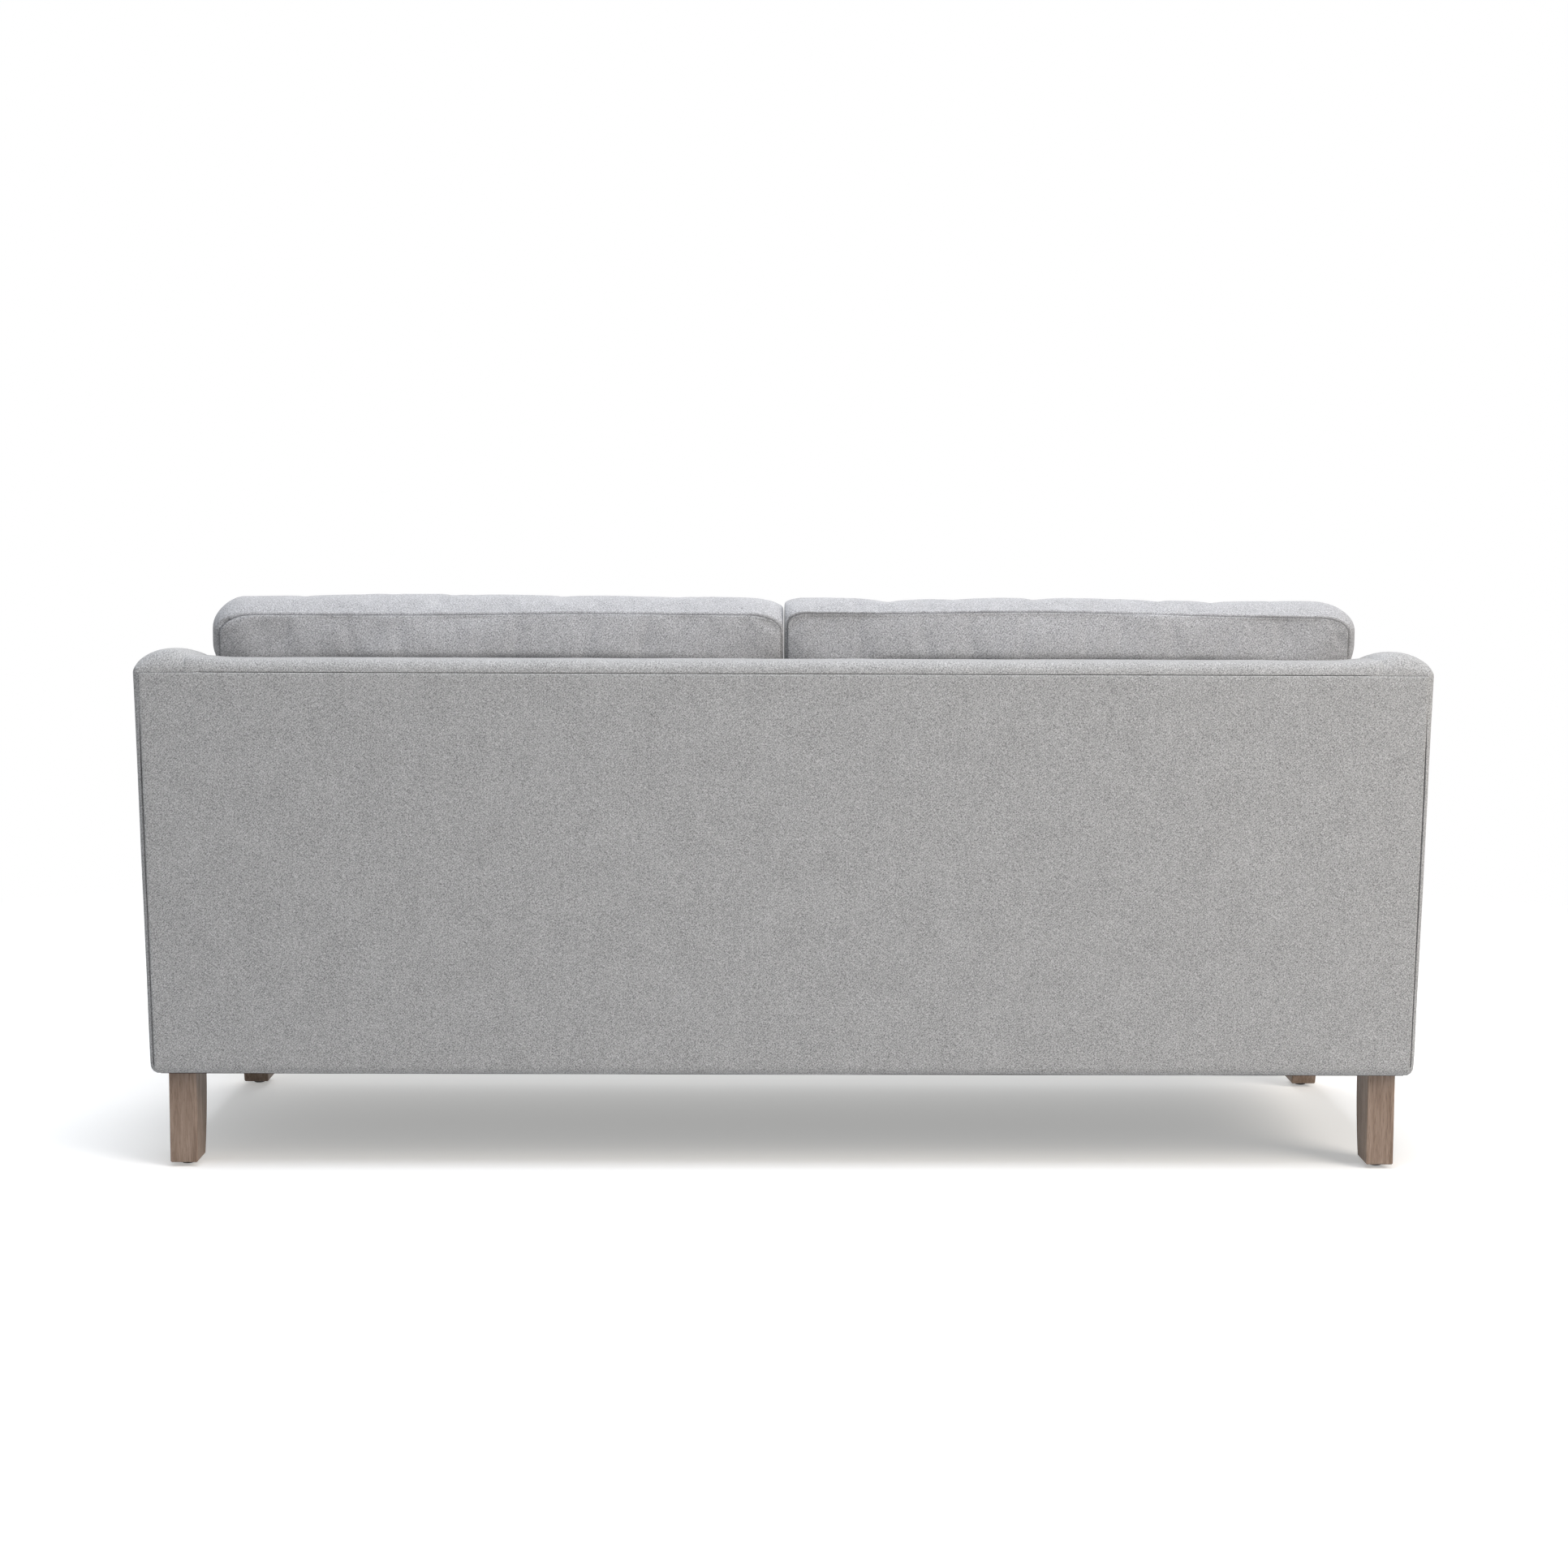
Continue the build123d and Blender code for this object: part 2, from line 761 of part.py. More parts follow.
def make_padding(foam_low, deck_rear, arm_timber, back_timber):
    panel, arm_rail, front_post = arm_timber
    rail_low, rail_high, tack = back_timber
    gap = soft_clearance
    front_inner = border_front + cover_thickness + gap
    roll = front_edge_round - 2 * cover_thickness
    front_foam = block(
        gap - arm_inner,
        arm_inner - gap,
        front_inner,
        rail_front,
        frame_low + edge_roll,
        deck_low,
    )
    nose = front_foam.edges().filter_by(Axis.X).sort_by(lambda e: e.center().Z - e.center().Y)
    front_foam = fillet(nose[-1:], roll)
    save("front_edge_foam", front_foam)

    deck_foam = block(
        gap - arm_inner, arm_inner - gap, rail_front, deck_rear, foam_low, deck_low
    )
    save("deck_foam", deck_foam)

    half_length = back_half_width - gap
    back_foam = raked_slab(
        cover_thickness,
        post_depth - webbing_thickness,
        deck_height,
        rail_low,
        -half_length,
        half_length,
    )
    save("inner_back_foam", back_foam)
    cap = back_solid(cover_thickness + gap, rail_low, half_length)
    behind = block(-half_width, half_width, frame_rear, rear, 0, crest_height)
    top_rail = prism(post_outline(rail_low, rail_high), -panel_inner, panel_inner)
    webbing_side = raked_slab(
        post_depth - webbing_thickness,
        post_depth,
        rail_low,
        rail_high,
        -half_width,
        half_width,
    )
    cap = cap - behind - top_rail - webbing_side
    save("back_top_foam", cap)

    board = between_sides(
        corner_radius + 2 * cover_thickness,
        frame_rear,
        rear_inside,
        ground_clearance + edge_roll,
        seam_height - cover_thickness,
    )
    save("rear_board", board)

    jacket = arm_solid(cover_thickness + gap)
    below = block(0, half_width, front, rear, 0, deck_height + gap)
    jacket = jacket - below - back_solid(0, deck_low, back_half_width + gap)
    jacket = jacket - block(0, half_width, frame_rear, rear, 0, seam_height)
    jacket = jacket - panel - arm_rail - front_post - top_rail - tack
    jacket = jacket - prism(post_outline(frame_low, rail_low), post_inner, panel_inner)
    hollow_front = rail_front + rail_thickness
    core = prism(
        under_arm_top(
            arm_foam_over_rail + arm_rail_thickness, hollow_front, frame_rear, frame_low
        ),
        side_rail_inner,
        panel_inner,
    )
    jacket = jacket - core
    left, right = both_sides(jacket)
    save("arm_foam_left", left)
    save("arm_foam_right", right)


# Legs, glides and fixings

def leg_shape(rear_y, mirrored):
    """Leg with one straight upright face and one that curves in towards the foot."""
    sign = -1 if mirrored else 1
    shank = (leg_top + glide_height) / 2

    def at(depth, z):
        return Vector(0, rear_y - sign * depth, z)

    middle_depth = (leg_top_depth + leg_foot_depth) / 2 + leg_bulge
    edges = [
        Line(at(0, glide_height), at(0, leg_top)),
        Line(at(0, leg_top), at(leg_top_depth, leg_top)),
        ThreePointArc(
            at(leg_top_depth, leg_top), at(middle_depth, shank), at(leg_foot_depth, glide_height)
        ),
        Line(at(leg_foot_depth, glide_height), at(0, glide_height)),
    ]
    leg = prism(edges, leg_centre - leg_width / 2, leg_centre + leg_width / 2)
    upright = [e for e in leg.edges() if abs(e.center().Z - shank) < shank / 4]
    leg = fillet(upright, leg_edge_radius)
    foot = leg.faces().sort_by(Axis.Z)[0]
    return chamfer(foot.edges(), leg_foot_chamfer)


def make_legs():
    rear_face = rear - leg_rear_inset
    front_face = rear_face - leg_span
    places = leg_bolt_places()
    glides = []
    bolts = []
    inserts = []
    for x, y in places:
        sole = Pos(x, y + foot_shift(y), 0) * glide()
        glides.append(sole)
        low = leg_top - bolt_in_leg
        high = frame_low + bolt_in_rail
        bolts.append(Pos(x, y, (low + high) / 2) * Cylinder(bolt_radius, high - low))
        bore = Cylinder(bolt_radius + hole_clearance, 2 * insert_length)
        body = Cylinder(insert_radius, insert_length) - bore
        inserts.append(Pos(x, y, frame_low + insert_length / 2) * body)
    for name, face, mirrored, place in (
        ("rear_leg", rear_face, False, places[0]),
        ("front_leg", front_face, True, places[2]),
    ):
        leg = leg_shape(face, mirrored)
        x, y = place
        hole = Cylinder(bolt_radius + hole_clearance, 2 * (bolt_in_leg + hole_clearance))
        leg = leg - Pos(x, y, leg_top) * hole
        nail = Cylinder(nail_radius + hole_clearance, 2 * (nail_length + hole_clearance))
        leg = leg - Pos(x, y + foot_shift(y), glide_height) * nail
        left, right = both_sides(leg)
        save(f"{name}_left", left)
        save(f"{name}_right", right)
    save("glides", group(glides))
    save("hanger_bolts", group(bolts))
    save("threaded_inserts", group(inserts))


def foot_shift(y):
    """From a leg's bolt to the middle of its foot."""
    shift = bolt_inset - leg_foot_depth / 2
    return shift if y > 0 else -shift


def glide():
    """Nail-on glide: a low domed disc with its nail."""
    disc = Pos(0, 0, glide_height / 2) * Cylinder(glide_radius, glide_height)
    disc = chamfer(disc.edges().sort_by(Axis.Z)[:1], glide_dome)
    high = glide_height + nail_length
    nail = Pos(0, 0, high / 2) * Cylinder(nail_radius, high)
    return disc + nail


# Loose cushions: box sewn, with a crowned panel, bulged boxing and ends drawn in

# Each section's place from the end towards the middle, its share of the crown and of the pull
station_shares = ((0.0, 0.12, 1.0), (0.22, 0.38, 0.5), (0.55, 0.66, 0.14), (1.0, 0.82, 0.0))
cap_stations = 4


def arc_to(a, b, bulge):
    """Arc from a to b that swells out by bulge."""
    chord = b - a
    side = Vector(0, -chord.Z, chord.Y).normalized()
    return ThreePointArc(a, (a + b) / 2 + side * bulge, b)


def crowned_edges(a, b, rise, blend):
    """Three arcs from a to b: up from the seam, a long flat crown, and down to the other seam."""
    chord = b - a
    along = chord.normalized()
    side = Vector(0, -chord.Z, chord.Y).normalized()
    flat = rise * flat_crown_share
    first = a + along * blend + side * (rise - flat)
    last = b - along * blend + side * (rise - flat)
    lean = along * blend / 2 + side * (rise - flat) * seam_curve_share
    lean_back = along * -blend / 2 + side * (rise - flat) * seam_curve_share
    return [
        ThreePointArc(a, a + lean, first),
        ThreePointArc(first, (a + b) / 2 + side * rise, last),
        ThreePointArc(last, b + lean_back, b),
    ]


def resting_edges(a, b, rise, blend):
    """A panel pressed flat by what it rests on, with a short arc up to each seam."""
    chord = b - a
    along = chord.normalized()
    side = Vector(0, -chord.Z, chord.Y).normalized()
    first = a + along * blend + side * rise
    last = b - along * blend + side * rise
    lean = along * blend / 2 + side * rise * seam_curve_share
    lean_back = along * -blend / 2 + side * rise * seam_curve_share
    return [
        ThreePointArc(a, a + lean, first),
        Line(first, last),
        ThreePointArc(last, b + lean_back, b),
    ]


def cushion_section(corners, bulges, rises, inset, crown_share, pull_share, x):
    """Closed outline of a cushion at x. Corners go round from the first boxing's start."""
    centre = sum(corners, Vector(0, 0, 0)) / len(corners)
    moved = []
    pulls = corner_pulls(corners, centre, bulges["pull"], inset, pull_share)
    for corner, pull in zip(corners, pulls):
        moved.append(corner + pull)
    a, b, c, d = moved
    crown = max(rises[0] * crown_share, least_crown)
    edges = [arc_to(a, b, bulges["first"])]
    edges += crowned_edges(b, c, crown, edge_blend)
    edges += [arc_to(c, d, bulges["second"] * (1 - end_bulge_loss_share * pull_share))]
    edges += resting_edges(d, a, rises[1], edge_blend / 2)
    return Pos(x, 0, 0) * Wire(edges)


def corner_pulls(corners, centre, pull, inset, share):
    """How each seam corner moves in: by the cover's inset, and by the pull near the ends."""
    moves = []
    long_pull, thick_pull = pull
    for index, corner in enumerate(corners):
        before = corners[index - 1]
        after = corners[(index + 1) % len(corners)]
        to_before = (before - corner).normalized()
        to_after = (after - corner).normalized()
        if index % 2 == 0:
            thick, long = to_after, to_before
        else:
            thick, long = to_before, to_after
        scale = share * long_pull[index]
        moves.append(thick * (inset + share * thick_pull) + long * (inset + scale))
    return moves


def cushion_solid(corners, bulges, rises, x0, x1, inset):
    """Loft through the sections, with a bulged cap at each end."""
    low = x0 + inset + cushion_end_bulge
    high = x1 - inset - cushion_end_bulge
    reach = (high - low) * end_zone_share
    places = []
    for place, crown, pull in station_shares:
        places.append((low + place * reach, crown, pull))
    middle = [((low + high) / 2, 1, 0)]
    mirrored = [(low + high - x, crown, pull) for x, crown, pull in reversed(places)]
    wires = []
    for x, crown, pull in places + middle + mirrored:
        wires.append(cushion_section(corners, bulges, rises, inset, crown, pull, x))
    body = Solid.make_loft(wires)
    for start, outward in ((low, -1), (high, 1)):
        caps = []
        crown, pull = station_shares[0][1:]
        for step in range(cap_stations + 1):
            angle = math.radians(cap_turn) * step / cap_stations
            out = cushion_end_bulge * math.sin(angle) / math.sin(math.radians(cap_turn))
            more = (1 - math.cos(angle)) * cushion_end_pull
            section = cushion_section(
                corners, bulges, rises, inset + more, crown, pull, start + outward * out
            )
            caps.append(section)
        if outward < 0:
            caps.reverse()
        body = body + Solid.make_loft(caps, ruled=True)
    return body


def zip_profile(outer, normal):
    """Places on the line through the boxing's middle: outer is the surface, normal points out."""
    return lambda depth, across: outer - normal * depth + Vector(0, normal.Z, -normal.Y) * across


def zip_pieces(outer, normal, x0, x1):
    """The slot in the cover, the zip that closes it, and the slider at its closed end."""
    at = zip_profile(outer, normal)
    tape_back = zip_depth
    tape_front = tape_back - zip_tape
    chain_front = tape_front - zip_chain_height
    half = zip_width / 2
    chain = zip_chain_width / 2

    def bar(points, a, b):
        corners = [at(*p) for p in points]
        edges = [Line(p, q) for p, q in zip(corners, corners[1:] + corners[:1])]
        return prism(edges, a, b)

    slot_depth = 2 * zip_depth
    slot = bar([(-overrun, -half), (-overrun, half), (slot_depth, half), (slot_depth, -half)], x0, x1)
    tape = bar(
        [(tape_front, -half), (tape_front, half), (tape_back, half), (tape_back, -half)], x0, x1
    )
    coil = bar(
        [(chain_front, -chain), (chain_front, chain), (tape_back, chain), (tape_back, -chain)],
        x0,
        x1,
    )
    stops = []
    for a, b in ((x0, x0 + zip_stop), (x1 - zip_stop, x1)):
        wide = chain + slider_wall
        stops.append(
            bar(
                [(chain_front, -wide), (chain_front, wide), (tape_back, wide), (tape_back, -wide)],
                a,
                b,
            )
        )
    closed = tape + coil + stops[0] + stops[1]
    inner = chain + soft_clearance
    wide = inner + slider_wall
    roof = chain_front - soft_clearance
    sill = tape_front - soft_clearance
    crown = roof - slider_plate
    points = [
        (sill, -wide),
        (crown, -wide),
        (crown, wide),
        (sill, wide),
        (sill, inner),
        (roof, inner),
        (roof, -inner),
        (sill, -inner),
    ]
    start = x0 + zip_stop + soft_clearance
    slider = bar(points, start, start + slider_length)
    return slot, closed, slider


def save_cushion(name, corners, bulges, rises, x0, x1, zip_place):
    """Cover, filling, zip and slider of one cushion."""
    outer, normal = zip_place
    middle = (x0 + x1) / 2
    slot, closed, slider = zip_pieces(
        outer, normal, middle - zip_length / 2, middle + zip_length / 2
    )
    whole = cushion_solid(corners, bulges, rises, x0, x1, 0)
    space = cushion_solid(corners, bulges, rises, x0, x1, cover_thickness)
    filling = cushion_solid(corners, bulges, rises, x0, x1, cover_thickness + soft_clearance)
    save(f"{name}_cover", whole - space - slot)
    save(f"{name}_filling", filling)
    save(f"{name}_zip", closed)
    save(f"{name}_zip_slider", slider)


def make_cushions():
    seat_low = deck_height + soft_clearance
    bottom_seam = seat_low + seat_bottom_lift
    top_seam = seat_low + seat_cushion_height - seat_crown
    seat_rear = raked(0, deck_height) - seat_rear_gap
    seam_front = front + seat_boxing_bulge
    seam_rear = seat_rear - seat_boxing_bulge
    seat_corners = [
        Vector(0, seam_front, bottom_seam),
        Vector(0, seam_front, top_seam),
        Vector(0, seam_rear, top_seam),
        Vector(0, seam_rear, bottom_seam),
    ]
    seat_bulges = {
        "first": seat_boxing_bulge,
        "second": seat_boxing_bulge,
        "pull": ((cushion_corner_pull,) * 4, cushion_edge_drop),
    }
    seat_rises = (seat_crown, seat_bottom_lift)
    seat_zip = (Vector(0, seat_rear, (bottom_seam + top_seam) / 2), Vector(0, 1, 0))

    back_low = seat_low + seat_cushion_height + soft_clearance
    tilt = math.radians(back_rake)
    forward = Vector(0, -math.cos(tilt), math.sin(tilt))
    seam_thickness = back_cushion_thickness - back_cushion_crown - back_rear_lift
    rear_depth = -soft_clearance - back_rear_lift
    low_seam = back_low + back_bottom_bulge
    rear_low = Vector(0, raked(rear_depth, low_seam), low_seam)
    rear_high = Vector(0, raked(rear_depth, back_cushion_top), back_cushion_top)
    front_high = rear_high + forward * seam_thickness
    front_low = Vector(0, rear_low.Y - seam_thickness * rake_stretch, low_seam)
    back_corners = [rear_low, front_low, front_high, rear_high]
    back_bulges = {
        "first": back_bottom_bulge,
        "second": back_top_bulge,
        "pull": ((0, 0, back_edge_drop, back_edge_drop), back_corner_pull),
    }
    back_rises = (back_cushion_crown, back_rear_lift)
    back_zip = (Vector(0, (rear_low.Y + front_low.Y) / 2, back_low), Vector(0, 0, -1))

    gap = side_clearance
    for side, x0, x1 in (("left", gap, arm_inner - gap), ("right", gap - arm_inner, -gap)):
        save_cushion(f"seat_{side}", seat_corners, seat_bulges, seat_rises, x0, x1, seat_zip)
        save_cushion(f"back_{side}", back_corners, back_bulges, back_rises, x0, x1, back_zip)


os.makedirs("parts", exist_ok=True)
make_body_covers()
deck_rear = make_seat_covers()
make_base_frame()
back_timber = make_back_frame()
arm_timber = make_arm_frame()
foam_low = make_suspension(deck_rear)
make_padding(foam_low, deck_rear, arm_timber, back_timber)
make_legs()
make_cushions()
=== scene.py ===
"""Dining sofa: the looks of every piece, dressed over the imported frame.

Metres. +Z is up, +X is the sitter's left, and the sofa faces -Y. The sections follow the sofa as it
is put together: the studio, legs, timber, springs, then the sewn covers and the loose cushions.
"""

import math

import bmesh
import bpy
import numpy as np
from mathutils import Matrix, Vector


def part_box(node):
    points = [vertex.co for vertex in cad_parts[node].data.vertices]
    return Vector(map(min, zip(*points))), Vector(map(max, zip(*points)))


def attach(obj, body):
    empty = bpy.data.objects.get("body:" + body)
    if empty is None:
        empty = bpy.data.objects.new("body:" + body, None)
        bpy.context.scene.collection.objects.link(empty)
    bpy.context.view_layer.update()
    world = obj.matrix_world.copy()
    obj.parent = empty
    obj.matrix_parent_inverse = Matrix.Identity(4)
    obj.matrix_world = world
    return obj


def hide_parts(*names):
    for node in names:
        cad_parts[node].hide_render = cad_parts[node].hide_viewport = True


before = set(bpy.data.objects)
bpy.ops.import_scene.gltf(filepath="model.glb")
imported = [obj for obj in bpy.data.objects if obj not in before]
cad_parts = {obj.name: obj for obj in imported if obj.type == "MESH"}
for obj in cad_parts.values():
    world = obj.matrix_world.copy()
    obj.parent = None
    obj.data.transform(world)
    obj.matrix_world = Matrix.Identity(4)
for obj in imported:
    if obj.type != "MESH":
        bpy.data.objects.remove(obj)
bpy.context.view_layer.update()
bpy.ops.object.select_all(action="DESELECT")


# Camera
# The photograph is taken from behind, from just above the back cushions and tilted a little down,
# with a slightly long lens.

camera_place = (0.02853, 4.45215, 1.00690)
camera_tilt = 0.100186
camera_turn = -0.006962
camera_roll = 0.003582
camera_lens = 62.25

bpy.ops.object.camera_add()
camera = bpy.context.object
camera.name = "camera"
camera.matrix_world = (
    Matrix.Translation(camera_place)
    @ Matrix.Rotation(math.pi + camera_turn, 4, "Z")
    @ Matrix.Rotation(math.pi / 2 - camera_tilt, 4, "X")
    @ Matrix.Rotation(camera_roll, 4, "Z")
)
camera.data.lens = camera_lens
camera.data.sensor_width = 36
bpy.context.scene.camera = camera
bpy.context.scene.view_settings.view_transform = "Standard"


# Studio
# A white floor and surround, and large soft lamps: the strongest behind the sofa's right, so that the
# picture is a little lighter and warmer there, hardly any on its left, and two overhead and in front.

def linear(code):
    """An sRGB hex colour as linear red, green, blue and alpha."""
    parts = [int(code[i : i + 2], 16) / 255 for i in (0, 2, 4)]
    return [c / 12.92 if c <= 0.04045 else ((c + 0.055) / 1.055) ** 2.4 for c in parts] + [1]


def node(tree, kind, inputs=(), **settings):
    """Adds a node. An input is a value, or the output that is linked to it."""
    made = tree.nodes.new(kind)
    for name, value in settings.items():
        setattr(made, name, value)
    for name, value in dict(inputs).items():
        if isinstance(value, bpy.types.NodeSocket):
            tree.links.new(value, made.inputs[name])
        else:
            made.inputs[name].default_value = value
    return made


def seen_rays(tree):
    """1 for the rays by which the camera sees a thing, also in gloss or through glass, and 0 for others."""
    path = node(tree, "ShaderNodeLightPath")
    seen = node(tree, "ShaderNodeMath", {
        0: path.outputs["Is Camera Ray"], 1: path.outputs["Is Glossy Ray"]}, operation="MAXIMUM")
    seen = node(tree, "ShaderNodeMath", {
        0: seen.outputs[0], 1: path.outputs["Is Transmission Ray"]}, operation="MAXIMUM")
    return seen.outputs[0]


world = bpy.data.worlds.new("white_studio")
bpy.context.scene.world = world
world.use_nodes = True
air = world.node_tree
air.nodes.clear()
soft = node(air, "ShaderNodeBackground", {"Color": linear("f2f5fa"), "Strength": 0.28})
white = node(air, "ShaderNodeBackground", {"Color": linear("ffffff"), "Strength": 1})
either = node(air, "ShaderNodeMixShader", {0: seen_rays(air), 1: soft.outputs[0], 2: white.outputs[0]})
node(air, "ShaderNodeOutputWorld", {"Surface": either.outputs[0]})


def lamp(name, place, target, size, power, colour):
    """A square soft lamp that faces the target."""
    bpy.ops.object.light_add(type="AREA", location=place)
    light = bpy.context.object
    light.name = name
    light.rotation_euler = (Vector(target) - Vector(place)).to_track_quat("-Z", "Y").to_euler()
    light.data.size = size
    light.data.energy = power
    light.data.color = linear(colour)[:3]


lamp("key_lamp", (-3.8, 3.0, 3.2), (-0.2, 0.3, 0.6), 2.6, 140, "fff6ec")
lamp("fill_lamp", (3.4, 3.6, 2.2), (0, 0.3, 0.5), 2.6, 1, "eaf2ff")
lamp("front_lamp", (0.3, -3.8, 3.0), (0, 0, 0.5), 3, 75, "ffffff")
lamp("top_lamp", (0, 0.8, 4.1), (0, 0.2, 0.5), 3, 128, "f2f6ff")

# The sofa is lit from below by a light grey floor, but the camera sees it nearly white, with its
# shadows, and from 1.2 m off it turns into the plain white of the surround.
below_glides = -0.0004
bpy.ops.mesh.primitive_plane_add(size=60, location=(0, 0, below_glides))
floor = bpy.context.object
floor.name = "floor"
paper = bpy.data.materials.new("white_studio_paper")
paper.use_nodes = True
sheet = paper.node_tree
sheet.nodes.clear()
place = node(sheet, "ShaderNodeTexCoord")
far = node(sheet, "ShaderNodeVectorMath", {0: place.outputs["Object"]}, operation="LENGTH")
far = node(sheet, "ShaderNodeMapRange", {0: far.outputs["Value"], 1: 1.2, 2: 3.2})
matt = node(sheet, "ShaderNodeBsdfDiffuse", {"Color": linear("e2e2e2")})
bright = node(sheet, "ShaderNodeBsdfDiffuse", {"Color": linear("fcfcfb")})
glow = node(sheet, "ShaderNodeEmission", {"Color": linear("fffffd"), "Strength": 0.36})
lit = node(sheet, "ShaderNodeAddShader", {0: bright.outputs[0], 1: glow.outputs[0]})
plain = node(sheet, "ShaderNodeEmission", {"Color": linear("ffffff"), "Strength": 1})
lit = node(sheet, "ShaderNodeMixShader", {0: far.outputs[0], 1: lit.outputs[0], 2: plain.outputs[0]})
either = node(sheet, "ShaderNodeMixShader", {0: seen_rays(sheet), 1: matt.outputs[0], 2: lit.outputs[0]})
node(sheet, "ShaderNodeOutputMaterial", {"Surface": either.outputs[0]})
floor.data.materials.append(paper)


# Legs and glides
# Solid oak legs, sawn and planed, then stained grey-brown and lacquered matt. They bolt up into the
# side rails, and a black nylon glide is nailed under each foot.

def material(name, roughness, metallic=0.0):
    """A new material with its shader, its tree and object coordinates."""
    made = bpy.data.materials.new(name)
    made.use_nodes = True
    tree = made.node_tree
    tree.nodes.clear()
    shader = node(tree, "ShaderNodeBsdfPrincipled", {"Roughness": roughness, "Metallic": metallic})
    node(tree, "ShaderNodeOutputMaterial", {"Surface": shader.outputs[0]})
    place = node(tree, "ShaderNodeTexCoord")
    return made, tree, shader, place.outputs["Object"]


def tint(tree, shader, factor, dark, light):
    """Colours a shader between dark and light by a factor of 0 to 1."""
    tone = node(tree, "ShaderNodeMix", {0: factor, 6: linear(dark), 7: linear(light)}, data_type="RGBA")
    tree.links.new(tone.outputs[2], shader.inputs["Base Color"])


def relief(tree, shader, height, strength, distance):
    """Lets a height raise and lower a shader's surface by up to this distance in metres."""
    lift = node(tree, "ShaderNodeBump", {"Height": height, "Strength": strength, "Distance": distance})
    tree.links.new(lift.outputs[0], shader.inputs["Normal"])


def finish_node(names, made):
    """Gives a material to CAD nodes that stay as they are."""
    for name in names:
        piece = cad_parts[name]
        piece.data.materials.clear()
        piece.data.materials.append(made)


def wood(name, dark, light, grain, along, roughness, bump, pores=0.35):
    """Planed timber: growth rings stretched along the grain, fine dark pores, and a slight relief.

    grain is the width of a ring in metres, and along the way the grain runs. bump is the relief's
    depth in metres, and pores how dark they are.
    """
    made, tree, shader, place = material(name, roughness)
    squeeze = [1 / 14 if axis == along else 1 for axis in "XYZ"]
    turned = node(tree, "ShaderNodeMapping", {"Vector": place, "Scale": squeeze}).outputs[0]
    broad = node(tree, "ShaderNodeTexNoise", {"Vector": turned, "Scale": 0.25 / grain, "Detail": 3})
    rings = node(tree, "ShaderNodeTexNoise", {
        "Vector": turned, "Scale": 1 / grain, "Detail": 5, "Roughness": 0.65, "Distortion": 0.6})
    pore = node(tree, "ShaderNodeTexNoise", {"Vector": turned, "Scale": 4 / grain, "Detail": 2})
    sharp = node(tree, "ShaderNodeMapRange", {0: pore.outputs[0], 1: 0.52, 2: 0.68})
    mixed = node(tree, "ShaderNodeMath", {0: rings.outputs[0], 1: 0.65}, operation="MULTIPLY")
    mixed = node(tree, "ShaderNodeMath", {
        0: broad.outputs[0], 1: 0.35, 2: mixed.outputs[0]}, operation="MULTIPLY_ADD")
    spread = node(tree, "ShaderNodeMapRange", {0: mixed.outputs[0], 1: 0.36, 2: 0.66})
    colour = node(tree, "ShaderNodeMix", {
        0: spread.outputs[0], 6: linear(dark), 7: linear(light)}, data_type="RGBA")
    depth = node(tree, "ShaderNodeMath", {0: sharp.outputs[0], 1: pores}, operation="MULTIPLY")
    colour = node(tree, "ShaderNodeMix", {0: depth.outputs[0], 6: colour.outputs[2], 7: linear(dark)},
                  data_type="RGBA", blend_type="MULTIPLY")
    tree.links.new(colour.outputs[2], shader.inputs["Base Color"])
    height = node(tree, "ShaderNodeMath", {0: rings.outputs[0], 1: sharp.outputs[0]}, operation="SUBTRACT")
    relief(tree, shader, height.outputs[0], 0.5, bump)
    return made


# Oak shows as fine upright streaks, grey-brown, a little pink where the light falls on it
oak = wood("grey_stained_oak", "86705f", "b39d8c", 0.0045, "Z", 0.55, 0.0003)
finish_node(["rear_leg_left", "rear_leg_right", "front_leg_left", "front_leg_right"], oak)

# Nylon, moulded: near black with a low sheen, scuffed finely by the floor
nylon, tree, shader, place = material("black_nylon", 0.45)
scuff = node(tree, "ShaderNodeTexNoise", {"Vector": place, "Scale": 900, "Detail": 3})
tint(tree, shader, scuff.outputs[0], "0c0c0d", "1c1c1e")
relief(tree, shader, scuff.outputs[0], 0.3, 0.0001)
finish_node(["glides"], nylon)


# Timber frame
# Sawn and planed softwood rails, posts and stretchers, glued and stapled, with plywood arm panels
# and a hardboard panel behind. All of it is out of sight under the covers.

pine = wood("planed_pine", "b58c5c", "dcbd8e", 0.006, "X", 0.6, 0.0002, 0.2)
pine_upright = wood("planed_pine_upright", "b58c5c", "dcbd8e", 0.006, "Z", 0.6, 0.0002, 0.2)
pine_deep = wood("planed_pine_front_to_back", "b58c5c", "dcbd8e", 0.006, "Y", 0.6, 0.0002, 0.2)
finish_node(["front_rail", "rear_rail", "back_top_rail", "back_tack_rails", "corner_blocks"], pine)
finish_node(["back_post_left", "back_post_right", "back_centre_post", "arm_front_posts"], pine_upright)
finish_node(["side_rail_left", "side_rail_right", "stretchers", "arm_top_rail_left",
             "arm_top_rail_right"], pine_deep)
plywood = wood("birch_plywood", "c09a68", "e2c799", 0.012, "Y", 0.6, 0.0002, 0.1)
finish_node(["arm_panel_left", "arm_panel_right"], plywood)

# Hardboard is pressed wood fibre: brown, with short fibres in every direction
hardboard, tree, shader, place = material("pressed_hardboard", 0.7)
fibre = node(tree, "ShaderNodeTexNoise", {"Vector": place, "Scale": 260, "Detail": 6, "Distortion": 1.5})
tint(tree, shader, fibre.outputs[0], "6a4a30", "8f6b48")
relief(tree, shader, fibre.outputs[0], 0.4, 0.0002)
finish_node(["rear_board"], hardboard)


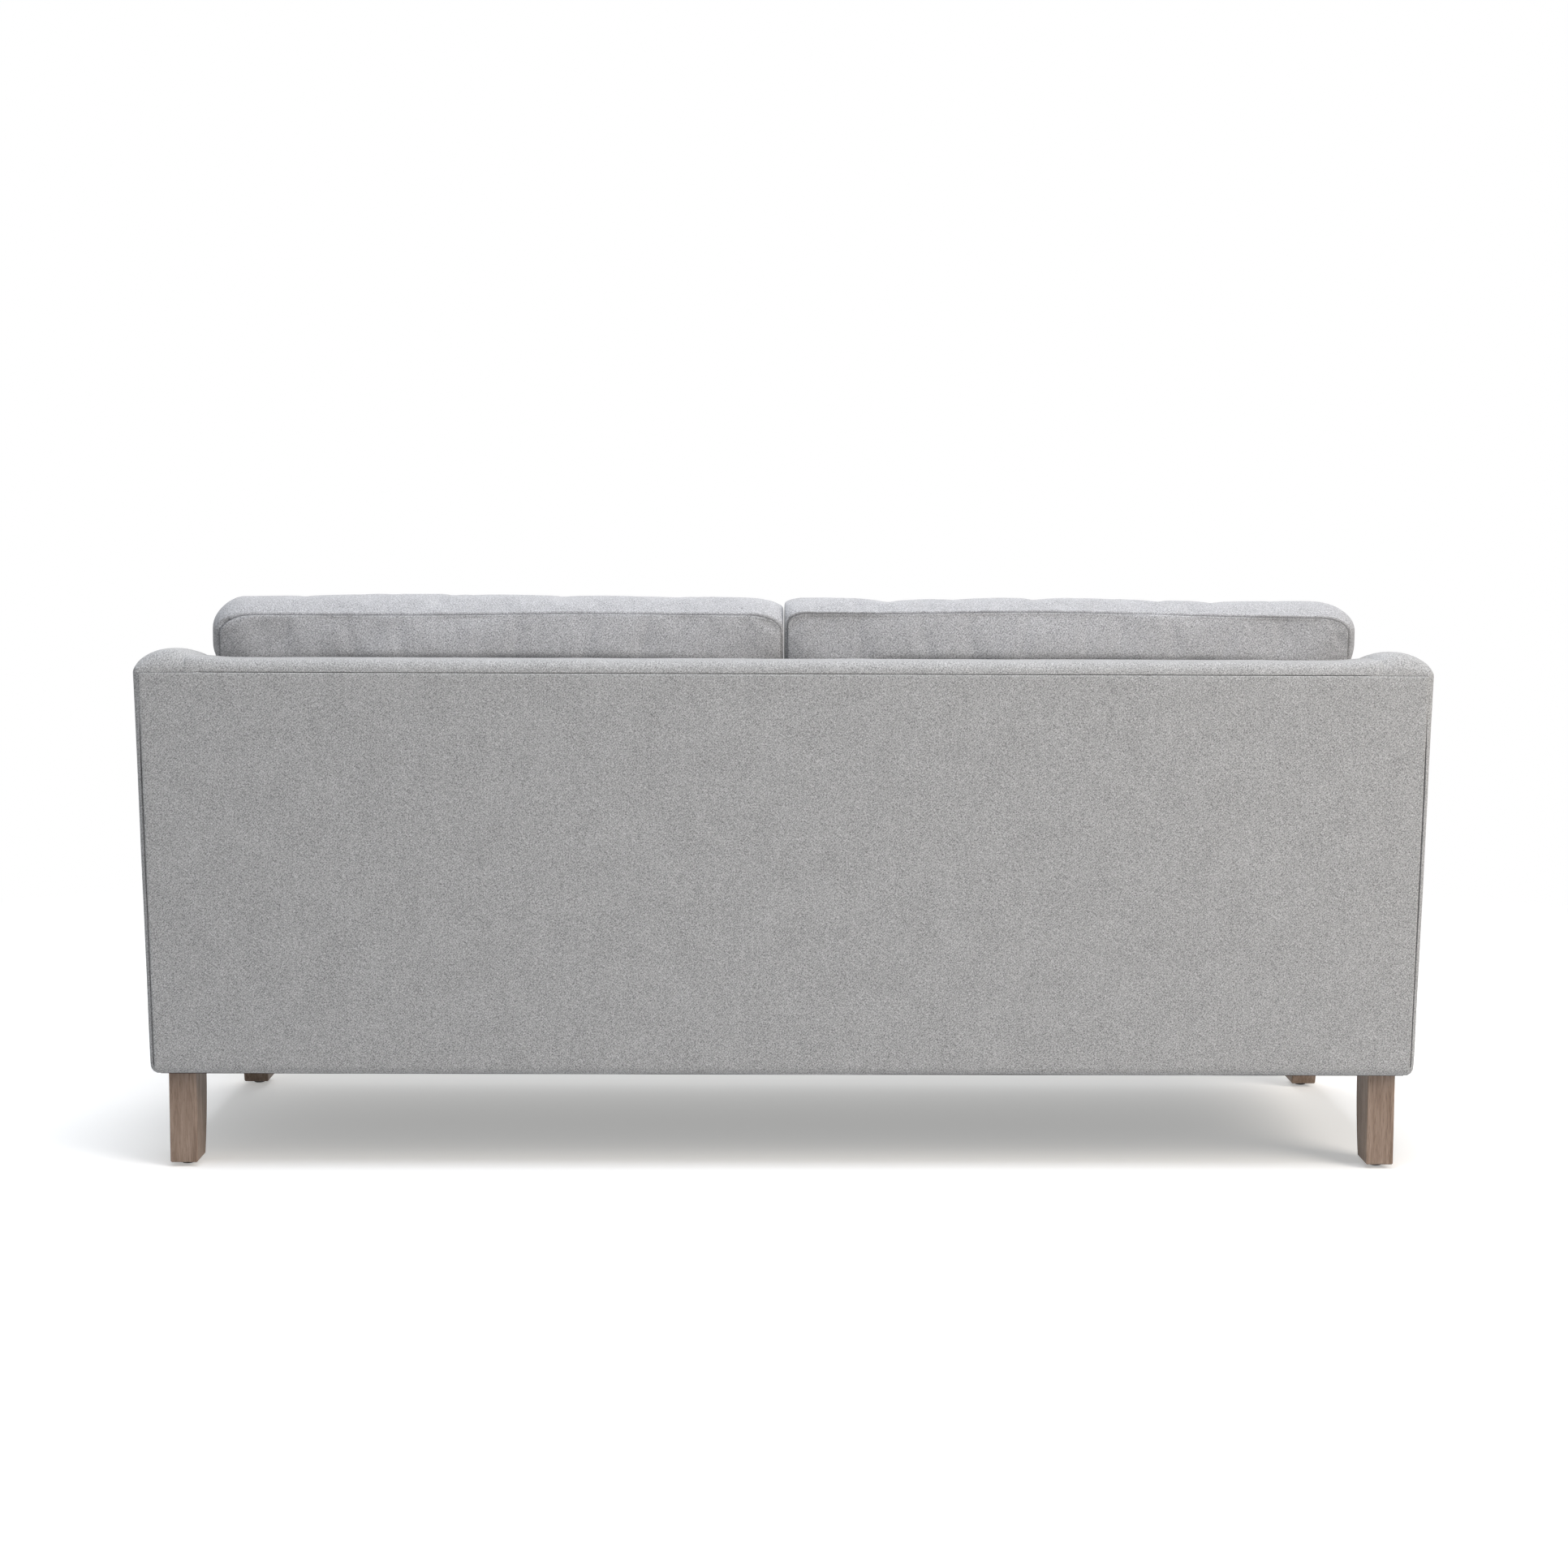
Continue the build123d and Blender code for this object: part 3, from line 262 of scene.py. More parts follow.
# Springs, webbing and fixings
# Zigzag springs of oiled steel wire hooked in plated clips, elastic webbing across the back, and
# plated bolts and inserts for the legs.

def steel(name, dark, light, roughness, grit):
    """Steel with the fine unevenness of its surface; grit is the size of the marks in metres."""
    made, tree, shader, place = material(name, roughness, 1.0)
    marks = node(tree, "ShaderNodeTexNoise", {"Vector": place, "Scale": 1 / grit, "Detail": 4})
    tint(tree, shader, marks.outputs[0], dark, light)
    relief(tree, shader, marks.outputs[0], 0.2, 0.0001)
    return made


finish_node(["seat_springs"], steel("oiled_spring_steel", "2c2c2e", "55565a", 0.38, 0.002))
finish_node(["spring_clips", "hanger_bolts", "threaded_inserts"],
            steel("zinc_plated_steel", "9fa1a0", "c9cbc8", 0.3, 0.003))
slider_metal = steel("painted_zinc", "84878b", "a2a5a9", 0.45, 0.0015)
finish_node(["seat_left_zip_slider", "seat_right_zip_slider", "back_left_zip_slider",
             "back_right_zip_slider"], slider_metal)

# Woven elastic: dark yarn with lengthwise ribs 2 mm apart
elastic, tree, shader, place = material("elastic_webbing", 0.85)
apart = node(tree, "ShaderNodeSeparateXYZ", {0: place})
rib = node(tree, "ShaderNodeMath", {0: apart.outputs[0], 1: math.tau / 0.002}, operation="MULTIPLY")
rib = node(tree, "ShaderNodeMath", {0: rib.outputs[0]}, operation="SINE")
pick = node(tree, "ShaderNodeMath", {0: apart.outputs[2], 1: math.tau / 0.0015}, operation="MULTIPLY")
pick = node(tree, "ShaderNodeMath", {0: pick.outputs[0]}, operation="SINE")
weave = node(tree, "ShaderNodeMath", {0: rib.outputs[0], 1: pick.outputs[0]}, operation="ADD")
spread = node(tree, "ShaderNodeMapRange", {0: weave.outputs[0], 1: -2, 2: 2})
tint(tree, shader, spread.outputs[0], "26231f", "4a443d")
relief(tree, shader, weave.outputs[0], 0.5, 0.0003)
finish_node(["back_webbing"], elastic)

# Zips: woven tape with a nylon coil, dyed to match the cloth; the coil's turns are 1.6 mm apart
zip_tape, tree, shader, place = material("coil_zip", 0.6)
apart = node(tree, "ShaderNodeSeparateXYZ", {0: place})
turn = node(tree, "ShaderNodeMath", {0: apart.outputs[0], 1: math.tau / 0.0016}, operation="MULTIPLY")
turn = node(tree, "ShaderNodeMath", {0: turn.outputs[0]}, operation="SINE")
spread = node(tree, "ShaderNodeMapRange", {0: turn.outputs[0], 1: -1, 2: 1})
tint(tree, shader, spread.outputs[0], "6f7173", "9b9ea0")
relief(tree, shader, turn.outputs[0], 0.8, 0.0004)
finish_node(["seat_left_zip", "seat_right_zip", "back_left_zip", "back_right_zip"], zip_tape)

# Needled felt over the springs: grey, matted, with darker flecks
felt, tree, shader, place = material("needled_felt", 0.95)
fleck = node(tree, "ShaderNodeTexNoise", {"Vector": place, "Scale": 350, "Detail": 5, "Distortion": 1})
tint(tree, shader, fleck.outputs[0], "4c4c4a", "8c8c88")
relief(tree, shader, fleck.outputs[0], 0.6, 0.0005)
finish_node(["deck_felt"], felt)


# Outside back
# One panel of brushed marl cloth over the hardboard, sewn to the border and the arms along its top
# and sides, then rolled under the rear rail and stapled there.

def marl_cloth(name, light, dark, cloud):
    """Brushed marl upholstery cloth: yarns of two greys, a faint twill line, and soft clouds.

    The yarn flecks are about 3.5 mm across, the twill lines 3 mm apart and the clouds 50 mm across, as
    they show in the photograph. cloud is how strongly the clouds change the colour.
    """
    made, tree, shader, place = material(name, 0.92)
    shader.inputs["Specular IOR Level"].default_value = 0.25
    shader.inputs["Sheen Weight"].default_value = 0.18
    shader.inputs["Sheen Roughness"].default_value = 0.5
    # The flecks are turned askew, so that no surface cuts their noise along its own grid
    askew = node(tree, "ShaderNodeMapping", {"Vector": place, "Rotation": (0.65, 0.46, 0.37)}).outputs[0]
    yarn = node(tree, "ShaderNodeTexNoise", {"Vector": askew, "Scale": 1 / 0.0017, "Detail": 0})
    fine = node(tree, "ShaderNodeTexNoise", {"Vector": askew, "Scale": 1 / 0.0011, "Detail": 1})
    twill = node(tree, "ShaderNodeTexWave", {
        "Vector": place, "Scale": math.tau / (10 * 0.003 * math.sqrt(2)), "Distortion": 2, "Detail": 1,
        "Detail Scale": 0.6}, wave_type="BANDS", bands_direction="DIAGONAL")
    broad = node(tree, "ShaderNodeTexNoise", {
        "Vector": place, "Scale": 1 / 0.055, "Detail": 4, "Roughness": 0.55})
    nap = node(tree, "ShaderNodeMapping", {"Vector": place, "Scale": (1, 1, 0.3)})
    brushed = node(tree, "ShaderNodeTexNoise", {"Vector": nap.outputs[0], "Scale": 1 / 0.014, "Detail": 4})
    total = node(tree, "ShaderNodeMath", {0: yarn.outputs[0], 1: 0.75}, operation="MULTIPLY")
    layers = ((fine.outputs[0], 0.25), (twill.outputs[1], 0.06), (broad.outputs[0], cloud),
              (brushed.outputs[0], cloud * 0.6))
    for layer, share in layers:
        total = node(tree, "ShaderNodeMath", {0: layer, 1: share, 2: total.outputs[0]},
                     operation="MULTIPLY_ADD")
    # The layers add up to about this middle, and come and go about it by less than the spread
    middle = 0.53 + cloud * 0.8
    contrast = 0.27
    spread = node(tree, "ShaderNodeMapRange", {
        0: total.outputs[0], 1: middle - contrast, 2: middle + contrast})
    # Where the piece has a seam, the cloth is darkened towards 4c4d4e: partly the seam's thread, and partly
    # painted shade standing in for the shadow in its groove
    seam_thread_and_shade = node(tree, "ShaderNodeAttribute", attribute_name="seam")
    seam_thread_and_shade = node(tree, "ShaderNodeMapRange", {0: seam_thread_and_shade.outputs["Fac"], 1: 0.55, 2: 0.95, 4: 0.62})
    colour = node(tree, "ShaderNodeMix", {
        0: spread.outputs[0], 6: linear(dark), 7: linear(light)}, data_type="RGBA")
    shade = node(tree, "ShaderNodeMix", {
        0: seam_thread_and_shade.outputs[0], 6: colour.outputs[2], 7: linear("4c4d4e")}, data_type="RGBA")
    tree.links.new(shade.outputs[2], shader.inputs["Base Color"])
    height = node(tree, "ShaderNodeMath", {0: yarn.outputs[0], 1: fine.outputs[0]}, operation="ADD")
    relief(tree, shader, height.outputs[0], 0.35, 0.0006)
    return made


sofa_cloth = marl_cloth("brushed_marl_cloth", "d2d2d1", "7c7c7b", 0.11)


def edit(piece):
    """Makes the piece the only one selected, and opens it in edit mode with nothing selected."""
    if bpy.context.mode != "OBJECT":
        bpy.ops.object.mode_set(mode="OBJECT")
    bpy.ops.object.select_all(action="DESELECT")
    piece.select_set(True)
    bpy.context.view_layer.objects.active = piece
    bpy.ops.object.mode_set(mode="EDIT")
    bpy.ops.mesh.select_all(action="DESELECT")


def select(piece, kind, test):
    """Selects what passes the test: a vertex's place, an edge's two ends, or a face's middle and normal."""
    bpy.ops.mesh.select_mode(type=kind)
    bpy.ops.mesh.select_all(action="DESELECT")
    mesh = bmesh.from_edit_mesh(piece.data)
    if kind == "VERT":
        for vertex in mesh.verts:
            vertex.select_set(test(vertex.co))
    elif kind == "EDGE":
        for edge in mesh.edges:
            edge.select_set(test(edge.verts[0].co, edge.verts[1].co))
    else:
        for face in mesh.faces:
            face.select_set(test(face.calc_center_median(), face.normal))
    mesh.select_flush_mode()
    bmesh.update_edit_mesh(piece.data)


def box_piece(name, low, high):
    """A box between two corners, left in edit mode with its place in its mesh."""
    middle = (Vector(low) + Vector(high)) / 2
    size = Vector(high) - Vector(low)
    bpy.ops.mesh.primitive_cube_add(size=1)
    piece = bpy.context.object
    piece.name = name
    edit(piece)
    bpy.ops.mesh.select_all(action="SELECT")
    bpy.ops.transform.resize(value=size)
    bpy.ops.transform.translate(value=middle)
    return piece


def cuts(axis, places):
    """Cuts the whole piece across by planes at these places on one axis."""
    for place in places:
        point = [0, 0, 0]
        point["XYZ".index(axis)] = place
        normal = [a == axis for a in "XYZ"]
        bpy.ops.mesh.select_all(action="SELECT")
        bpy.ops.mesh.bisect(plane_co=point, plane_no=normal)


def evenly(low, high, spacing):
    """Places between low and high, not counting them, about this far apart."""
    count = max(round((high - low) / spacing), 1)
    return [low + (high - low) * i / count for i in range(1, count)]


def near(a, b):
    """Whether two measures are the same, but for rounding."""
    return abs(a - b) < 1e-5


def soften(piece, thickness, turn_in, rumple):
    """Gives a skin of cloth its thickness, turned-in edges and slight unevenness, and smooths it.

    rumple is how far the surface comes and goes, in metres, in soft waves about 120 mm long.
    """
    bpy.ops.object.mode_set(mode="OBJECT")
    if rumple:
        cloudy = bpy.data.textures.new(f"{piece.name}_waves", "CLOUDS")
        cloudy.noise_scale = 0.12
        cloudy.noise_depth = 2
        bend = piece.modifiers.new("rumple", "DISPLACE")
        bend.texture = cloudy
        bend.texture_coords = "LOCAL"
        bend.strength = rumple * 2
        bend.mid_level = 0.5
        bpy.ops.object.modifier_apply(modifier="rumple")
    wall = piece.modifiers.new("wall", "SOLIDIFY")
    wall.thickness = thickness
    wall.offset = -1
    bpy.ops.object.modifier_apply(modifier="wall")
    edge = piece.modifiers.new("turned_in_edge", "BEVEL")
    edge.width = turn_in
    edge.segments = 2
    edge.limit_method = "ANGLE"
    edge.angle_limit = math.radians(60)
    bpy.ops.object.modifier_apply(modifier="turned_in_edge")
    smooth = piece.modifiers.new("smooth", "SUBSURF")
    smooth.levels = 1
    smooth.render_levels = 1
    bpy.ops.object.modifier_apply(modifier="smooth")
    bpy.ops.object.shade_smooth()


def dress(piece, made, slot, body, *nodes):
    """Gives the piece its material and body, and lets it stand for its CAD nodes; slot is not used."""
    if bpy.context.mode != "OBJECT":
        bpy.ops.object.mode_set(mode="OBJECT")
    piece.data.materials.clear()
    piece.data.materials.append(made)
    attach(piece, body)
    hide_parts(*nodes)


low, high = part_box("outside_back_cover")
panel_top = high.z - 0.0002
panel_top_half = high.x + 0.0008
panel_low_half = panel_top_half - 0.0132
panel_depth = 0.02
roll = 0.014
proud = 0.0016
cloth_thickness = 0.004
panel_front = high.y - panel_depth
panel_rear = high.y + proud
back_panel = box_piece(
    "outside_back", (-panel_top_half, panel_front, low.z), (panel_top_half, panel_rear, panel_top))
select(back_panel, "VERT", lambda v: near(v.z, low.z))
bpy.ops.transform.resize(value=(panel_low_half / panel_top_half, 1, 1), center_override=(0, 0, 0))
# The box's lower front edge becomes the end of the part that is folded under the rail
select(back_panel, "VERT", lambda v: near(v.z, low.z) and near(v.y, panel_front))
bpy.ops.transform.translate(value=(0, low.y - high.y + panel_depth, 0))
select(back_panel, "EDGE", lambda a, b: all(near(v.z, low.z) and near(v.y, panel_rear) for v in (a, b)))
bpy.ops.mesh.bevel(offset=roll, segments=6)
select(back_panel, "FACE", lambda c, n: n.y < -0.3 or n.z > 0.9 or abs(n.x) > 0.7)
bpy.ops.mesh.delete(type="FACE")
cuts("X", evenly(-panel_top_half, panel_top_half, 0.02))
cuts("Z", evenly(low.z + roll, panel_top, 0.02))
soften(back_panel, cloth_thickness, 0.0019, 0.0009)
dress(back_panel, sofa_cloth, "sofa_cloth", "sofa_frame", "outside_back_cover")


# Back border and inside back
# A strip of the same cloth goes over the foam along the back's top, sewn to the outside back behind;
# the inside back goes on down behind the cushions, leaning 8 degrees.

low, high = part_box("back_top_border")
deck_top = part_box("deck_cover")[1].z
border_seam = low.z
lean = math.tan(math.radians(8))
border_depth = 0.098
inner_top = high.y - border_depth
border_end = high.x + 0.012
border = box_piece("back_border", (-border_end, inner_top, deck_top), (border_end, high.y, high.z))
select(border, "VERT", lambda v: near(v.z, deck_top) and near(v.y, inner_top))
bpy.ops.transform.translate(value=(0, -(high.z - deck_top) * lean, 0))
for edge_y, radius, segments in ((high.y, 0.018, 5), (inner_top, 0.030, 6)):
    select(border, "EDGE", lambda a, b: all(near(v.z, high.z) and near(v.y, edge_y) for v in (a, b)))
    bpy.ops.mesh.bevel(offset=radius, segments=segments)
cuts("Z", [border_seam + 0.0002, border_seam - 0.0002])
select(border, "FACE", lambda c, n: (
    abs(n.x) > 0.9 or n.z < -0.5 or (n.y > 0.9 and c.z < border_seam + 0.0001)))
bpy.ops.mesh.delete(type="FACE")
cuts("X", evenly(-border_end, border_end, 0.022))
cuts("Z", evenly(deck_top, border_seam, 0.03))
cuts("Y", [inner_top + 0.045, inner_top + 0.06])
# Its top rises a little where it meets the arms
for start, rise in ((0.845, 0.0008), (0.862, 0.0012), (0.876, 0.0015)):
    select(border, "VERT", lambda v: abs(v.x) > start and v.z > high.z - 0.012)
    bpy.ops.transform.translate(value=(0, 0, rise))
select(border, "FACE", lambda c, n: c.z < border_seam + 0.0002 and c.y < high.y - 0.03)
bpy.ops.mesh.separate(type="SELECTED")
bpy.ops.object.mode_set(mode="OBJECT")
inside_back = [o for o in bpy.context.selected_objects if o != border][0]
inside_back.name = "inside_back"
for piece in (border, inside_back):
    edit(piece)
    soften(piece, cloth_thickness, 0.0014, 0.0009)
dress(border, sofa_cloth, "sofa_cloth", "sofa_frame", "back_top_border", "back_top_foam")
dress(inside_back, sofa_cloth, "sofa_cloth", "sofa_frame", "inside_back_cover", "inner_back_foam")


# Arms
# Each arm is foam over plywood. One cloth goes up its inner side, over the arched top, and round the
# front; the outside panel is sewn to it just below the arch, and its rear edge to the outside back.

low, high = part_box("inside_arm_cover_left")
shoulder = border_seam
arm_seam = shoulder - 0.002
arm_rise = high.z - shoulder
arm_bottom = low.z
bottom_roll = arm_bottom + 0.014
rear_rounding = 0.035
front_rounding = 0.026
swoop_rear = high.y - rear_rounding
swoop_front = low.y + front_rounding
front_top = 0.650
swoop_drop = high.z - front_top
swoop_run = swoop_rear - swoop_front
swoop_radius = (swoop_run**2 + swoop_drop**2) / (4 * swoop_drop)


def arm_drop(y):
    """How far the arm's top has come down at y: two equal arcs that meet half way."""
    gone = min(max(swoop_rear - y, 0), swoop_run)
    if gone <= swoop_run / 2:
        return swoop_radius - math.sqrt(swoop_radius**2 - gone**2)
    return swoop_drop - swoop_radius + math.sqrt(swoop_radius**2 - (swoop_run - gone) ** 2)


arm = box_piece("inside_arm_left", low, (high.x, high.y, shoulder))
arm_taper = 0.0145
select(arm, "VERT", lambda v: near(v.x, high.x) and near(v.z, low.z))
bpy.ops.transform.translate(value=(-arm_taper, 0, 0))
# The rounded edges: the outer rear corner, both front corners, and the bottom but for its inner side
select(arm, "EDGE", lambda a, b: near(a.y, high.y) and near(b.y, high.y) and a.x > 0.96 and b.x > 0.96)
bpy.ops.mesh.bevel(offset=0.010, segments=4)
select(arm, "EDGE", lambda a, b: near(a.y, low.y) and near(b.y, low.y) and abs(a.z - b.z) > 0.1)
bpy.ops.mesh.bevel(offset=0.014, segments=4)
inner_side = low.x + 0.001
select(arm, "EDGE", lambda a, b: (
    near(a.z, low.z) and near(b.z, low.z) and not (a.x < inner_side and b.x < inner_side)))
bpy.ops.mesh.bevel(offset=0.0139, segments=4)
shares = (0.02, 0.06, 0.13, 0.24, 0.38, 0.56, 0.78, 1)
rear_steps = [high.y - rear_rounding * share for share in shares]
front_steps = [low.y + front_rounding * share for share in shares]
cuts("Y", rear_steps + front_steps + evenly(swoop_front, swoop_rear, 0.03))
# Seen from behind the arm's top is an arch: a small arc at each side, and a large one between them
half_span = (high.x - low.x) / 2
middle = low.x + half_span
small = 0.026
large = (half_span**2 + arm_rise**2 - 2 * half_span * small) / (2 * (arm_rise - small))
turn = math.atan2(large - arm_rise, half_span - small)
arch = []
for i in (1, 2, 3, 4):
    angle = turn * i / 4
    arch.append((half_span - small + small * math.cos(angle), small * math.sin(angle)))
for i in (1, 2, 3):
    angle = turn + (math.pi / 2 - turn) * i / 3
    arch.append((large * math.cos(angle), arm_rise - large + large * math.sin(angle)))
cuts("X", sorted({round(middle + side * x, 7) for x, z in arch for side in (1, -1)}))
for x, z in arch:
    select(arm, "VERT", lambda v: near(v.z, shoulder) and near(abs(v.x - middle), x))
    bpy.ops.transform.translate(value=(0, 0, z))
cuts("Z", [arm_seam] + evenly(bottom_roll, arm_seam, 0.035))
cuts("Y", [low.y + 0.014])


def stations(piece):
    """Every place from front to rear that has a row of points."""
    mesh = bmesh.from_edit_mesh(piece.data)
    return sorted({round(v.co.y, 6) for v in mesh.verts})


def quarter(gone, length):
    """How high a quarter ellipse of this length is this far in from its end, as a share."""
    return math.sqrt(max(1 - (1 - min(gone / length, 1)) ** 2, 0))


# Every row is lowered to the arm's line, and its arch is let down towards both ends
height = shoulder - bottom_roll
for y in stations(arm):
    keep = (height - arm_drop(y)) / height
    crown = min(quarter(high.y - y, rear_rounding), quarter(y - low.y, front_rounding))
    select(arm, "VERT", lambda v: abs(v.y - y) < 2e-6 and v.z > bottom_roll)
    bpy.ops.transform.resize(value=(1, 1, keep), center_override=(0, 0, bottom_roll))
    top = bottom_roll + height * keep
    select(arm, "VERT", lambda v: abs(v.y - y) < 2e-6 and v.z > top + 1e-6)
    bpy.ops.transform.resize(value=(1, 1, max(crown, 0.01) / keep), center_override=(0, 0, top))


def seam_height(y):
    """The height at y of the seam between the outside arm and the cloth over its top."""
    return bottom_roll + (arm_seam - bottom_roll) * (height - arm_drop(y)) / height


# What other pieces cover is taken off: the rear, the inner side below the deck, and the bottom
select(arm, "FACE", lambda c, n: (
    (c.y > high.y - 0.0005 and c.z < shoulder and c.x < high.x - 0.01)
    or (c.x < low.x + 0.0005 and c.z < deck_top - 0.004 and c.y > low.y + 0.05)
    or (c.z < bottom_roll and c.y > high.y - 0.0145 and c.x < high.x - 0.0255)
    or (c.z < arm_bottom + 0.0005 and c.x < low.x + 0.05)))
bpy.ops.mesh.delete(type="FACE")
select(arm, "FACE", lambda c, n: (
    c.y > low.y + 0.014 and c.z < seam_height(c.y) and c.x > low.x + 0.03))
bpy.ops.mesh.separate(type="SELECTED")
bpy.ops.object.mode_set(mode="OBJECT")
outside_arm = [o for o in bpy.context.selected_objects if o != arm][0]
outside_arm.name = "outside_arm_left"


def other_side(piece, name):
    """A mirrored copy with its own mesh, its faces turned to point outwards again."""
    twin = piece.copy()
    twin.data = piece.data.copy()
    twin.name = name
    bpy.context.collection.objects.link(twin)
    edit(twin)
    bpy.ops.mesh.select_all(action="SELECT")
    bpy.ops.transform.resize(value=(-1, 1, 1), center_override=(0, 0, 0))
    bpy.ops.mesh.flip_normals()
    bpy.ops.object.mode_set(mode="OBJECT")
    return twin


arm_pieces = [
    (arm, ["inside_arm_cover_left", "arm_foam_left"]),
    (outside_arm, ["outside_arm_cover_left"]),
    (other_side(arm, "inside_arm_right"), ["inside_arm_cover_right", "arm_foam_right"]),
    (other_side(outside_arm, "outside_arm_right"), ["outside_arm_cover_right"]),
]
for piece, nodes in arm_pieces:
    edit(piece)
    soften(piece, cloth_thickness, 0.0014, 0.0009)
    dress(piece, sofa_cloth, "sofa_cloth", "sofa_frame", *nodes)


# Front border and deck
# The border goes over thin foam on the front rail, rolled under it like the back; the flat deck
# cloth behind it carries the seat cushions.

low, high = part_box("front_border_cover")
side = high.x - 0.0006
front_border = box_piece("front_border", (-side, low.y, low.z), (side, high.y - 0.0006, high.z))
top_radius = 0.018
low_radius = 0.014
for z, radius, segments in ((high.z, top_radius, 5), (low.z, low_radius, 4)):
    select(front_border, "EDGE", lambda a, b: all(near(v.z, z) and near(v.y, low.y) for v in (a, b)))
    bpy.ops.mesh.bevel(offset=radius, segments=segments)
hem = low.y + 0.048
cuts("Y", [hem])
select(front_border, "FACE", lambda c, n: abs(n.x) > 0.9 or n.y > 0.9 or (n.z < -0.9 and c.y > hem))
bpy.ops.mesh.delete(type="FACE")
cuts("X", evenly(-side, side, 0.025))
cuts("Z", evenly(low.z + low_radius, high.z - top_radius, 0.025))
cuts("Y", evenly(low.y + top_radius, high.y, 0.026))
soften(front_border, cloth_thickness, 0.0014, 0.0008)
dress(front_border, sofa_cloth, "sofa_cloth", "sofa_frame", "front_border_cover", "front_edge_foam")

low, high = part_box("deck_cover")
side = high.x + 0.0012
deck = box_piece("deck_cloth", (-side, low.y + 0.0006, low.z), (side, high.y, high.z))
select(deck, "FACE", lambda c, n: n.z < 0.9)
bpy.ops.mesh.delete(type="FACE")
cuts("X", evenly(-side, side, 0.04))
cuts("Y", evenly(low.y, high.y, 0.04))
soften(deck, 0.003, 0.0012, 0)
deck_made = marl_cloth("plain_deck_cloth", "b9bbbb", "8b8d8d", 0.08)
dress(deck, deck_made, "deck_cloth", "sofa_frame", "deck_cover", "deck_foam")


# Dust cover
# Thin black spun cloth, stapled up under the frame to close it from below.

low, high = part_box("dust_cover")
spun, tree, shader, place = material("spun_black_cloth", 0.95)
dots = node(tree, "ShaderNodeTexVoronoi", {"Vector": place, "Scale": 1 / 0.0014, "Randomness": 0.2})
tint(tree, shader, dots.outputs[0], "141416", "26262a")
relief(tree, shader, dots.outputs[0], 0.4, 0.0002)
dust = box_piece("dust_cloth", low, high)
select(dust, "FACE", lambda c, n: n.z > -0.9)
bpy.ops.mesh.delete(type="FACE")
cuts("X", evenly(low.x, high.x, 0.05))
cuts("Y", evenly(low.y, high.y, 0.05))
soften(dust, 0.0008, 0.0003, 0)
dress(dust, spun, "dust_cloth", "sofa_frame", "dust_cover")


# Back cushions
# Boxed cushions in the same cloth: a front and a rear panel joined by a band, stuffed with crumb and
# standing loose on the seat. The panels' seams are 114 mm apart, and the stuffing crowns the rest.

cushion_cloth = marl_cloth("loose_cushion_cloth", "d3d3d4", "7f7f80", 0.11)

# Places closer to a plane than this count as on it
hair = 1e-5


def read_places(piece):
    """The places of a piece's vertices, a row each."""
    places = np.empty(len(piece.data.vertices) * 3)
    piece.data.vertices.foreach_get("co", places)
    return places.reshape(-1, 3)


def write_places(piece, places):
    """Puts a piece's vertices at these places."""
    piece.data.vertices.foreach_set("co", places.ravel())
    piece.data.update()


def round_corners(places, across, up, low, high, radii):
    """Rounds the four edges of a gridded box that run along its third axis, ring by ring.

    radii has two pairs, for the low and the high side: its low and its high corner, each as the arc's
    reach across and up, which may differ from place to place. Gives back which way each place on the
    rim looks.
    """
    outward = np.zeros((len(places), 2))
    outward[places[:, across] < low[across] + hair, 0] = -1
    outward[places[:, across] > high[across] - hair, 0] = 1
    outward[places[:, up] < low[up] + hair, 1] = -1
    outward[places[:, up] > high[up] - hair, 1] = 1
    for side in (0, 1):
        for end, (reach, rise) in enumerate(radii[side]):
            reach = np.broadcast_to(reach, len(places))
            rise = np.broadcast_to(rise, len(places))
            corner_a = (low[across] + reach) if side == 0 else (high[across] - reach)
            corner_b = (low[up] + rise) if end == 0 else (high[up] - rise)
            past_a = (places[:, across] - corner_a) / reach * (-1 if side == 0 else 1)
            past_b = (places[:, up] - corner_b) / rise * (-1 if end == 0 else 1)
            inside = (past_a > 0) & (past_b > 0)
            keep = np.maximum(past_a, past_b)[inside] / np.hypot(past_a, past_b)[inside]
            sideways = (places[inside, across] - corner_a[inside]) * keep
            upwards = (places[inside, up] - corner_b[inside]) * keep
            places[inside, across] = corner_a[inside] + sideways
            places[inside, up] = corner_b[inside] + upwards
            away = np.stack([sideways / reach[inside] ** 2, upwards / rise[inside] ** 2], axis=1)
            rim = np.any(outward[inside] != 0, axis=1)
            away = away / np.linalg.norm(away, axis=1)[:, None]
            outward[inside] = np.where(rim[:, None], away, 0)
    return outward


def wave(places, points):
    """A smooth line through a few given points, level at its ends, read at these places."""
    at, level = np.array(points).T
    slope = np.gradient(level, at)
    slope[[0, -1]] = 0
    index = np.clip(np.searchsorted(at, places) - 1, 0, len(at) - 2)
    step = at[index + 1] - at[index]
    share = np.clip((places - at[index]) / step, 0, 1)
    eased = share * share * (3 - 2 * share)
    rise = level[index] + (level[index + 1] - level[index]) * eased
    bend = slope[index] * (1 - share) - slope[index + 1] * share
    return rise + step * share * (1 - share) * bend


